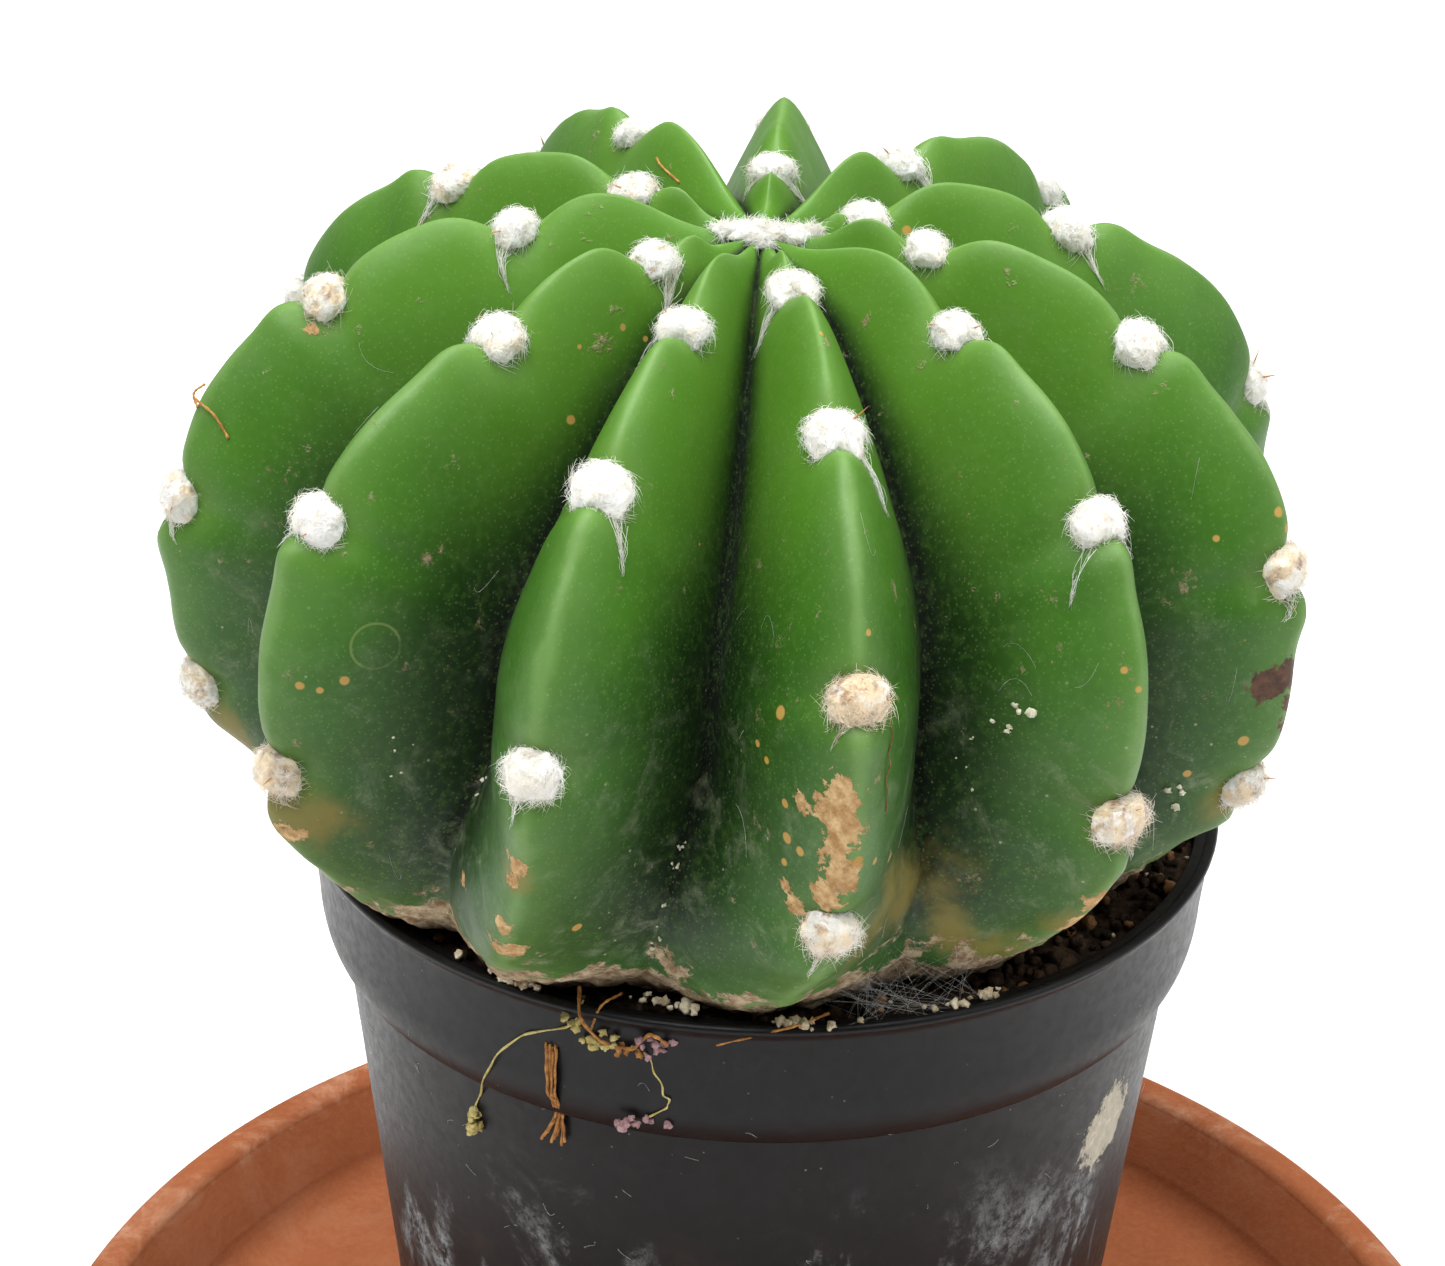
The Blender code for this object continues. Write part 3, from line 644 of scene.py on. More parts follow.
OCHRE_MARKS = (
    (1, 0.75, 108.0, 4.4), (1, 0.45, 108.0, 3.2), (2, -0.72, 115.0, 3.2), (2, -0.40, 117.0, 3.0),
    (10, -0.02, 101.0, 2.6), (0, -0.05, 95.0, 1.8), (2, -0.02, 112.0, 2.4), (3, -0.05, 108.0, 2.6),
    (9, 0.20, 112.0, 3.5), (10, 0.20, 102.0, 3.4), (5, 0.30, 110.0, 5.0), (7, -0.30, 110.0, 5.0),
)
DARK_MARKS = (
    (3, -0.20, 90.0, 1.3), (3, -0.13, 90.0, 1.5), (3, -0.04, 89.5, 1.6), (3, -0.02, 93.0, 0.7),
    (3, -0.02, 96.0, 0.7), (6, 0.0, 90.0, 1.6), (8, 0.25, 96.0, 1.2),
)
# ... and the width and strength of the ring
RING_MARKS = (
    (9, -0.12, 19.0, 0.55, 0.22, 0.9), (9, -0.12, 21.0, 0.38, 0.18, 0.8), (10, 0.47, 77.5, 2.0, 0.16, 0.28),
    (4, 0.30, 50.0, 0.6, 0.2, 0.5),
)


def flank_point(rib, across, degrees):
    """A point of the skin: a share of the flank towards the next rib, or back from the crest if below 0."""
    index, between = (rib, across / 2) if across >= 0 else ((rib - 1) % len(RIBS), 1 + across / 2)
    return surface(index, between, math.radians(degrees))


def mark_masks(points, marks):
    """How close each point of the stem is to the nearest of the marks, from 0 to 1."""
    mask = np.zeros(len(points))
    for rib, across, degrees, radius in marks:
        centre = flank_point(rib, across, degrees)
        away = np.linalg.norm(points - centre, axis=1) / (radius * MM)
        mask = np.maximum(mask, np.exp(-0.7 * away * away))
    return mask


def make_stem(material):
    per_rib, rows = 38, 200
    columns = per_rib * len(RIBS)
    index = np.repeat(np.arange(len(RIBS)), per_rib)
    between = np.tile(np.arange(per_rib) / per_rib, len(RIBS))
    quarter = np.full(columns, math.pi / 2)
    start = rib_azimuth(index, quarter)
    azimuth = start + ((rib_azimuth((index + 1) % len(RIBS), quarter) - start) % 360) * between
    ends = BASE_ANGLE - BASE_ANGLE_FRONT * np.cos(np.radians(azimuth))
    share = np.linspace(0, 1, rows)[:, None]
    angles = CROWN_ANGLE + (ends[None] - CROWN_ANGLE) * share
    rings = surface(np.tile(index, (rows, 1)), np.tile(between, (rows, 1)), angles)
    # living unevenness, along the radius
    flat = rings.reshape(-1, 3)
    wobble = 0.35 * bumpy(flat, 70, 1) + 0.10 * bumpy(flat, 260, 2)
    low = ease(0.84, 1.0, np.repeat(share[:, 0], columns))
    wobble += 0.6 * low * bumpy(flat, 300, 3) + 0.45 * low * low * bumpy(flat, 900, 4)
    middle = np.array([0, 0, STEM_WIDEST])
    wobble = wobble * MM * np.repeat(ease(0, 0.1, share[:, 0]), columns)
    flat = flat + unit(flat - middle) * wobble[:, None]
    rings = flat.reshape(rows, columns, 3)
    heel = rings[-1]
    level = heel[:, 2].mean()
    neck = NECK_RADIUS / STEM_RADIUS
    under = []
    profile = ((0.985, 0.015), (0.96, 0.035), (0.93, 0.06), (0.80, 0.16), (0.55, 0.34))
    for inward, drop in (*profile, (0.5 * neck + 0.2, 0.7), (neck, 1.0)):
        ring = heel * inward
        ring[:, 2] = level + (heel[:, 2] - level) * inward - NECK_DEPTH * drop
        under.append(ring)
    rings = np.concatenate([rings, np.array(under)])
    points, faces = capped_rings(rings)
    stem = mesh_object("stem_body", in_row(points), faces, "stem_skin", [material])
    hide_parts("stem")
    # groove: 0 on each crest and 1 in each groove, faded to 0 at the heel; the skin paints shade towards the
    # grooves and a highlight along the crests from it
    groove = np.tile(1 - np.abs(2 * between - 1), (len(rings), 1)).reshape(-1)
    # down runs from 0 at the crown to 1 at the heel; the skin also sets its painted light from above by it
    down = np.concatenate([np.repeat(share[:, 0], columns), np.ones(len(under) * columns)])
    fade = 1 - ease(0.86, 1.0, down)
    set_attribute(stem, "groove", np.append(groove, (1, 1)) * np.append(fade, (1, 1)))
    set_attribute(stem, "down", np.append(down, (0, 1)))
    set_attribute(stem, "heel", np.append(ease(0.885, 1.0, down), (0, 1)))
    near_areole = np.zeros(len(points))
    for rib in range(len(RIBS)):
        for areole in RIBS[rib][4]:
            seat = surface(rib, 0.0, math.radians(areole))
            away = np.linalg.norm(points - seat, axis=1)
            near_areole = np.maximum(near_areole, 1 - ease(2.2 * MM, 5.5 * MM, away))
    set_attribute(stem, "rim", near_areole)
    for name, marks in (("cork", CORK_MARKS), ("ochre", OCHRE_MARKS), ("dark", DARK_MARKS)):
        set_attribute(stem, name, mark_masks(points, marks))


# ---------------------------------------------------------------- wool and spines

TUFT_HALF = np.array([2.3, 2.0, 1.75]) * MM  # sideways, along the crest, outwards
TUFT_LIFT = 0.6 * MM
YOUNG_TUFT = 0.88
# How brown the tufts are, where they aren't fresh and white: (rib, areole): share
TUFT_AGES = {
    (1, 2): 0.75, (1, 3): 0.42, (10, 3): 0.62, (2, 2): 0.62, (9, 1): 0.40, (3, 2): 0.45, (3, 3): 0.45,
    (9, 3): 0.35, (9, 2): 0.25, (4, 3): 0.6, (5, 3): 0.65, (6, 3): 0.6, (7, 2): 0.55, (8, 3): 0.5,
    (6, 2): 0.3, (5, 2): 0.35, (8, 1): 0.3, (8, 0): 0.2, (10, 0): 0.12, (10, 1): 0.12,
}


def fluff(origins, outward, length, thickness, spread, steps=5, droop=0.0):
    """Curled hairs that leave their origins mostly along the surface."""
    count = len(origins)
    side = unit(np.cross(outward, RNG.normal(size=(count, 3))))
    start = unit(outward * (0.35 + 0.25 * RNG.random((count, 1))) + side * spread)
    bend = unit(np.cross(start, outward)) * RNG.normal(scale=0.8, size=(count, 1)) - outward * 0.35
    t = np.linspace(0, 1, steps)[None, :, None]
    reach = (length * (0.5 + RNG.random((count, 1))))[:, :, None]
    fall = np.array([0, 0, -1.0]) * droop
    paths = origins[:, None] + reach * (start[:, None] * t + (bend[:, None] + fall) * t * t * 0.6)
    taper = 1 - 0.75 * np.linspace(0, 1, steps) ** 2
    radii = thickness * (0.7 + 0.6 * RNG.random((count, 1))) * taper[None]
    return strands(paths, radii)


CORE_POINTS, CORE_FACES = ball(4)


def tail(index, areole, side, start, hairs, length):
    """A wisp of wool that hangs from a tuft down one flank and closes to a point."""
    shares = side * np.linspace(0.03, 0.5, 20)
    turns = np.radians(np.linspace(areole - 6, areole + 9, 16))
    shares, turns = (grid.ravel() for grid in np.meshgrid(shares, turns))
    ribs = np.full(len(shares), index if side > 0 else (index - 1) % len(RIBS))
    skin = surface(ribs, shares % 1, turns)
    reach = np.linalg.norm(skin - start, axis=1)
    falls = in_row(skin)[:, 2] + 1.0 * (np.abs(reach - length) > 0.12 * length)
    best = int(np.argmin(falls))
    near = int(np.argmin(in_row(skin)[:, 2] + 1.0 * (np.abs(reach - 0.5 * length) > 0.12 * length)))
    away = unit(start - np.array([0, 0, STEM_WIDEST]))
    tip = skin[best] + away * 0.3 * MM
    middle = skin[near] + away * 0.9 * MM
    steps = 8
    t = np.linspace(0, 1, steps)[None, :, None]
    spread = RNG.normal(scale=0.62 * MM, size=(hairs, 1, 3)) * (1 - t) ** 1.2
    t = t * (0.6 + 0.55 * RNG.random((hairs, 1, 1)))
    paths = (1 - t) ** 2 * start + 2 * t * (1 - t) * middle + t * t * tip + spread
    sway = RNG.normal(scale=0.12 * MM, size=(hairs, 1, 3)) * np.sin(9 * t + RNG.random((hairs, 1, 1)) * 6)
    radii = np.full((hairs, steps), 0.025 * MM) * (1 - 0.6 * np.linspace(0, 1, steps) ** 2)
    return strands(paths + sway, radii)


def make_tuft(index, order, wool, spine):
    areole = RIBS[index][4][order]
    age = TUFT_AGES.get((index, order), 0.0)
    angle = np.array(math.radians(areole))
    seat = surface(index, 0.0, angle)
    out, up = crest_normal(angle)
    azimuth = rib_azimuth(np.array(index), angle)
    outward = around(azimuth, out, up)
    sideways = around(azimuth + 90, 1.0, 0.0)
    along = np.cross(outward, sideways)
    axes = np.array([sideways, along, outward])
    size = (YOUNG_TUFT if order == 0 else 1.0) * (1 + 0.06 * age) * RNG.uniform(0.94, 1.05)
    seed = 17 * index + 5 * order + 1
    # matted core: a flattened lump, drawn down on both sides of the crest below it
    lump = 1 + 0.16 * bumpy(CORE_POINTS, 1.6, seed) + 0.10 * bumpy(CORE_POINTS, 4.0, seed + 0.5)
    lump += 0.06 * bumpy(CORE_POINTS, 9.0, seed + 0.25) + 0.04 * bumpy(CORE_POINTS, 19.0, seed + 0.75)
    core = CORE_POINTS * lump[:, None]
    sag = ease(0, 1, -core[:, 1]) * ease(0, 0.8, np.abs(core[:, 0]))
    core[:, 1] -= 0.35 * sag
    core[:, 2] -= 0.30 * sag
    core = core * TUFT_HALF * size
    centre = seat + outward * TUFT_LIFT
    core_points = core @ axes + centre
    # hairs lie over the core
    shown = np.flatnonzero(CORE_POINTS[:, 2] > -0.35)
    picked = RNG.choice(shown, 850)
    normals = unit((CORE_POINTS[picked] / TUFT_HALF) @ axes)
    origins = core_points[picked] - normals * 0.1 * MM
    origins += RNG.normal(scale=0.12 * MM, size=origins.shape)
    hairs = fluff(origins, normals, 1.15 * MM * size, 0.022 * MM, 1.3, droop=0.3)
    parts = [(core_points, CORE_FACES), hairs]
    fall = unit(PLANT[:3, :3].T @ np.array([0, 0, -1.0]))
    fall = unit(fall - outward * fall.dot(outward))
    # a wisp on one side, now and then a shorter one on the other, and next to none on old tufts
    first = 1 if RNG.random() < 0.5 else -1
    second = RNG.random() < 0.3
    for side, length, hairs in ((first, RNG.uniform(3.8, 5.6), 40), (-first, RNG.uniform(2.4, 3.4), 20)):
        if order > 1:
            length, hairs = 0.55 * length, hairs // 2
        if side == first or second:
            start = centre + (sideways * side * 0.5 + fall * 1.2 - outward * 0.2) * MM * size
            parts.append(tail(index, areole, side, start, hairs, length * MM * size))
    wool_parts = len(parts)
    # one to three short spines
    spines = 1 + int(RNG.random() * 2.6)
    turns = RNG.uniform(0, math.tau, spines)
    tilt = RNG.uniform(0.7, 1.25, spines)
    reach = RNG.uniform(2.6, 4.3, spines) * MM * size
    direction = (
        np.outer(np.sin(tilt) * np.cos(turns), sideways)
        + np.outer(np.sin(tilt) * np.sin(turns) * 0.7, along)
        + np.outer(np.cos(tilt) * 0.6, outward)
    )
    t = np.linspace(0.15, 1, 5)[None, :, None]
    bow = RNG.normal(scale=0.18, size=(spines, 1, 3))
    paths = centre + (direction[:, None] * t + bow * t * t) * reach[:, None, None]
    radii = 0.17 * MM * (1.02 - np.linspace(0, 1, 5) ** 1.5)[None].repeat(spines, 0)
    parts.append(strands(paths, radii, 6))
    points, faces, which = joined(parts)
    name = f"tuft_rib{index + 1:02d}_{order + 1}"
    kinds = [1 if number >= wool_parts else 0 for number in which]
    tuft = mesh_object(name, in_row(points), faces, "areole_wool", [wool, spine], kinds)
    set_attribute(tuft, "age", np.full(len(points), age))
    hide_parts(f"wool_rib{index + 1:02d}_{order + 1}")


def make_crown_wool(wool):
    """Loose wool over the young areoles where the ribs meet."""
    top = crest(np.array(CROWN_ANGLE))[1]
    parts = []
    lumps = (
        (-1.7, 0.3, 1.7, 0.75), (-3.3, 0.2, 1.1, 0.6), (-0.3, 1.2, 1.2, 0.6), (-0.6, -0.9, 0.9, 0.55),
        (1.5, 0.5, 1.2, 0.6), (3.1, -0.1, 1.4, 0.7), (4.3, 0.5, 0.8, 0.5), (0.3, -2.0, 0.6, 0.45),
    )
    for number, (x, y, width, height) in enumerate(lumps):
        distance = math.hypot(x, y) * MM
        lift = -0.5 * MM + distance * 0.05
        centre = np.array([x * MM, y * MM, top + lift])
        half = np.array([width, width * 0.85, height]) * MM
        lump = 1 + 0.2 * bumpy(CORE_POINTS, 1.8, 40 + number)
        core = CORE_POINTS * lump[:, None] * half + centre
        parts.append((core, CORE_FACES))
        shown = np.flatnonzero(CORE_POINTS[:, 2] > -0.1)
        picked = RNG.choice(shown, 260)
        normals = unit(CORE_POINTS[picked] / half)
        parts.append(fluff(core[picked], normals, 1.0 * MM, 0.026 * MM, 1.3))
    points, faces, _ = joined(parts)
    crown = mesh_object("crown_fluff", in_row(points), faces, "areole_wool", [wool])
    set_attribute(crown, "age", np.zeros(len(points)))
    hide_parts("crown_wool")


# ---------------------------------------------------------------- pot, saucer and soil


def collar_turn(steps=10):
    top = RIM_RADIUS - COLLAR_DRAFT
    turn = np.radians(np.linspace(0, 90, steps + 1))
    radii = top - COLLAR_TURN_IN * (1 - np.cos(turn))
    heights = COLLAR_FOOT + COLLAR_TURN * (1 - np.sin(turn))
    return list(zip(radii, heights))


def make_pot(material):
    bead = 0.45 * MM
    ledge = 0.4 * MM
    inner_lip = RIM_RADIUS - 2.1 * MM
    floor = POT_FOOT + POT_FOOT_HEIGHT
    inside = [(r - POT_WALL, h + POT_WALL) for r, h in reversed(collar_turn()[:-1])]
    profile = [(0, floor + POT_WALL), (POT_FOOT_RADIUS - POT_WALL, floor + POT_WALL)]
    profile += [(BODY_TOP_RADIUS - POT_WALL, COLLAR_FOOT + POT_WALL)]
    profile += inside
    profile += [(inner_lip - 0.05 * MM, POT_RIM - ledge - 0.6 * MM)]
    profile += [(inner_lip + 0.05 * MM, POT_RIM - ledge - 0.12 * MM)]
    profile += [(inner_lip + 0.2 * MM, POT_RIM - ledge)]
    profile += [(RIM_RADIUS - 2.4 * bead, POT_RIM - ledge), (RIM_RADIUS - 2.1 * bead, POT_RIM - 0.5 * ledge)]
    profile += arc((RIM_RADIUS - bead, POT_RIM - bead), bead, 120, -40, 8)
    profile += [(RIM_RADIUS - 0.45 * MM, POT_RIM - 1.15 * MM), (RIM_RADIUS - 0.55 * MM, POT_RIM - 1.6 * MM)]
    profile += collar_turn()
    profile += [(BODY_TOP_RADIUS + 0.05 * MM, COLLAR_FOOT - 0.1 * MM)]
    profile += [(BODY_TOP_RADIUS, COLLAR_FOOT - 0.4 * MM)]
    profile += [(BODY_TOP_RADIUS - POT_TAPER * k / 12, COLLAR_FOOT - (COLLAR_FOOT - POT_FOOT) * k / 12)
                for k in range(1, 12)]
    profile += [(POT_FOOT_RADIUS + 0.02 * MM, POT_FOOT + 0.4 * MM), (POT_FOOT_RADIUS - 0.3 * MM, POT_FOOT)]
    profile += [(POT_FOOT_RADIUS - POT_WALL, POT_FOOT), (POT_FOOT_RADIUS - POT_WALL, floor), (0, floor)]
    points, faces = turned(profile, 200, POT_X)
    pot = mesh_object("pot_shell", points, faces, "black_plastic", [material])
    pegs = bmesh.new()
    for k in range(DRAIN_HOLES):
        turn = math.tau * k / DRAIN_HOLES
        ring = POT_FOOT_RADIUS - DRAIN_RING_INSET
        place = (POT_X + ring * math.cos(turn), ring * math.sin(turn), floor + POT_WALL / 2)
        bmesh.ops.create_cone(
            pegs, cap_ends=True, segments=28, radius1=DRAIN_HOLE_RADIUS, radius2=DRAIN_HOLE_RADIUS,
            depth=4 * POT_WALL, matrix=Matrix.Translation(place),
        )
    peg_mesh = bpy.data.meshes.new("drain_pegs")
    pegs.to_mesh(peg_mesh)
    pegs.free()
    cutter = bpy.data.objects.new("drain_pegs", peg_mesh)
    bpy.context.scene.collection.objects.link(cutter)
    boolean = pot.modifiers.new("drain_holes", "BOOLEAN")
    boolean.operation = "DIFFERENCE"
    boolean.solver = "EXACT"
    boolean.object = cutter
    bpy.context.view_layer.update()
    evaluated = pot.evaluated_get(bpy.context.evaluated_depsgraph_get())
    cut_mesh = bpy.data.meshes.new_from_object(evaluated)
    pot.modifiers.clear()
    pot.data = cut_mesh
    bpy.data.objects.remove(cutter)
    pot.data.set_sharp_from_angle(angle=math.radians(50))
    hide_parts("pot")


def make_saucer(material):
    rim = 1.6 * MM
    fillet = 4.8 * MM
    floor_radius = SAUCER_RADIUS - SAUCER_FLARE
    foot_radius = floor_radius - SAUCER_FOOT_INSET
    inner = (SAUCER_RADIUS - SAUCER_RIM_WALL + rim, SAUCER_HEIGHT - rim)
    outer = (SAUCER_RADIUS - rim, SAUCER_HEIGHT - rim)
    profile = [(0, SAUCER_FLOOR)] + [(floor_radius * k / 10, SAUCER_FLOOR) for k in range(1, 10)]
    profile += arc((floor_radius - fillet, SAUCER_FLOOR + fillet), fillet, -90, -15, 10)
    profile += arc(inner, rim, 165, 90, 8)
    profile += arc(outer, rim, 90, -20, 10)
    profile += arc((foot_radius - rim, rim), rim, -30, -90, 5)
    profile += [(0, 0)]
    points, faces = turned(profile, 256)
    # hand-turned: a slow waver, nothing where it stands
    turn = np.arctan2(points[:, 1], points[:, 0])
    waver = 0.12 * MM * np.sin(3 * turn + 0.6) + 0.08 * MM * np.sin(7 * turn)
    points[:, 2] -= np.abs(waver) * ease(SAUCER_FLOOR, SAUCER_HEIGHT, points[:, 2])
    saucer = mesh_object("saucer_dish", points, faces, "clay", [material])
    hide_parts("saucer")


def soil_height(x, y):
    away = np.hypot(x, y)
    bank = 1.3 * MM * ease(28 * MM, 36 * MM, away) * (1 - 0.5 * ease(38 * MM, 41 * MM, away))
    return SOIL_TOP + bank


def make_soil(material):
    radius = RIM_RADIUS - 2.1 * MM - 0.2 * MM
    rings = []
    for k in range(1, 61):
        away = radius * k / 60
        turn = np.arange(220) * math.tau / 220
        x, y = away * np.cos(turn), away * np.sin(turn)
        rings.append(np.stack([POT_X + x, y, soil_height(x, y)], -1))
    top = np.array(rings)
    flat = top.reshape(-1, 3)
    lumps = 0.9 * bumpy(flat, 420, 21) + 0.6 * bumpy(flat, 1100, 22)
    inside = 1 - ease(radius - 1.0 * MM, radius, np.hypot(flat[:, 0] - POT_X, flat[:, 1]))
    flat[:, 2] += lumps * MM * inside
    top = flat.reshape(top.shape)
    side = []
    floor = POT_FOOT + POT_FOOT_HEIGHT + POT_WALL + 0.3 * MM
    for radius_low, height in (
        (RIM_RADIUS - COLLAR_DRAFT - POT_WALL - 0.3 * MM, COLLAR_FOOT + COLLAR_TURN + 2 * MM),
        (BODY_TOP_RADIUS - POT_WALL - 0.3 * MM, COLLAR_FOOT + POT_WALL),
        (POT_FOOT_RADIUS - POT_WALL - 0.3 * MM, floor),
    ):
        ring = top[-1].copy()
        ring[:, 0] = POT_X + (ring[:, 0] - POT_X) * radius_low / radius
        ring[:, 1] *= radius_low / radius
        ring[:, 2] = height
        side.append(ring)
    points, faces = capped_rings(np.concatenate([top, np.array(side)]))
    soil = mesh_object("soil_fill", points, faces, "soil", [material])
    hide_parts("soil")


CRUMB_POINTS, CRUMB_FACES = ball(2)


def grains(places, sizes, rough=0.35):
    """Small irregular lumps, one at each place."""
    parts = []
    for place, size in zip(places, sizes):
        stretch = RNG.uniform(0.65, 1.25, 3)
        bumps = 1 + rough * RNG.normal(size=len(CRUMB_POINTS)).clip(-1.6, 1.6) * 0.6
        parts.append((CRUMB_POINTS * bumps[:, None] * stretch * size + place, CRUMB_FACES))
    points, faces, _ = joined(parts)
    return points, faces


def make_crumbs(material, bark, pale):
    """Loose bits on the soil: reach from the pot's axis, height over the soil and size, in millimetres."""
    count = 1500
    turn = RNG.uniform(0, math.tau, count)
    away = RNG.uniform(30.5, 40.4, count) * MM
    sizes = RNG.uniform(0.18, 0.75, count) ** 1.3 * 1.15 * MM
    x, y = away * np.cos(turn), away * np.sin(turn)
    z = soil_height(x, y) + RNG.uniform(-0.2, 0.9, count) * MM
    mesh_object("soil_crumbs", *grains(np.stack([POT_X + x, y, z], -1), sizes), "soil", [material])
    for name, count, reach, over, size, look in (
        ("bark_bits", 130, (31, 40.4), (0.2, 1.0), (0.25, 0.7), bark),
        ("perlite_grains", 46, (36, 40.6), (0.3, 1.2), (0.12, 0.36), pale),
    ):
        turn = RNG.uniform(0, math.tau, count)
        away = RNG.uniform(*reach, count) * MM
        x, y = away * np.cos(turn), away * np.sin(turn)
        z = soil_height(x, y) + RNG.uniform(*over, count) * MM
        bits = grains(np.stack([POT_X + x, y, z], -1), RNG.uniform(*size, count) * MM)
        mesh_object(name, *bits, "soil", [look])


def on_lip(degrees, inset, up=0.1):
    """A point over the pot's lip: degrees from the front towards +X, millimetres in from its edge."""
    turn = math.radians(degrees)
    radius = RIM_RADIUS - inset * MM
    return np.array([POT_X + radius * math.sin(turn), -radius * math.cos(turn), POT_RIM + up * MM])


def on_collar(degrees, below, out=0.15):
    """A point on the pot's side, millimetres below the lip."""
    height = POT_RIM - below * MM
    if height > COLLAR_FOOT + COLLAR_TURN:
        radius = RIM_RADIUS - COLLAR_DRAFT + (below < 1.2) * COLLAR_DRAFT
    elif height > COLLAR_FOOT:
        drop = (COLLAR_FOOT + COLLAR_TURN - height) / COLLAR_TURN
        radius = RIM_RADIUS - COLLAR_DRAFT - COLLAR_TURN_IN * (1 - math.sqrt(max(1 - drop * drop, 0)))
    else:
        radius = BODY_TOP_RADIUS - POT_TAPER * (COLLAR_FOOT - height) / (COLLAR_FOOT - POT_FOOT)
    turn = math.radians(degrees)
    radius += out * MM
    return np.array([POT_X + radius * math.sin(turn), -radius * math.cos(turn), height])


def thread(name, stops, radius, material, curl=0.0, steps=60):
    """A dry fibre through a few stops, smoothed, with an optional curl."""
    stops = np.array(stops)
    t = np.linspace(0, len(stops) - 1, steps)
    lower = np.clip(np.floor(t).astype(int), 0, len(stops) - 2)
    f = (t - lower)[:, None]
    padded = np.vstack([2 * stops[0] - stops[1], stops, 2 * stops[-1] - stops[-2]])
    a, b, c, d = (padded[lower + k] for k in range(4))
    path = 0.5 * (2 * b + (c - a) * f + (2 * a - 5 * b + 4 * c - d) * f**2 + (3 * b - a - 3 * c + d) * f**3)
    wave = np.linspace(0, 1, steps)[:, None]
    path = path + curl * MM * np.concatenate(
        [np.sin(wave * 31), 0.4 * np.cos(wave * 23), np.cos(wave * 27 + 1)], 1
    ) * np.sin(wave * math.pi)
    thickness = radius * MM * (1 + 0.25 * np.sin(np.linspace(0, 40, steps)))
    mesh_object(name, *strands(path[None], thickness[None], 6), "soil", [material])


def slung_hairs(name, starts, ends, thickness, slot, material, lean=(1, 1, 1)):
    """Fine hairs between pairs of points, each a little slack; thickness in millimetres."""
    starts, ends = np.array(starts), np.array(ends)
    steps = 6
    t = np.linspace(0, 1, steps)[None, :, None]
    slack = RNG.normal(scale=0.35 * MM, size=(len(starts), 1, 3)) * np.sin(t * math.pi)
    paths = starts[:, None] * (1 - t) + ends[:, None] * t + slack * np.array(lean)
    mesh_object(name, *strands(paths, np.full((len(starts), steps), thickness * MM)), slot, [material])


def cluster(name, centre, spread, count, size, material):
    places = np.asarray(centre) + RNG.normal(size=(count, 3)) * np.array(spread) * MM
    mesh_object(name, *grains(places, RNG.uniform(0.55, 1.0, count) * size * MM, 0.45), "soil", [material])


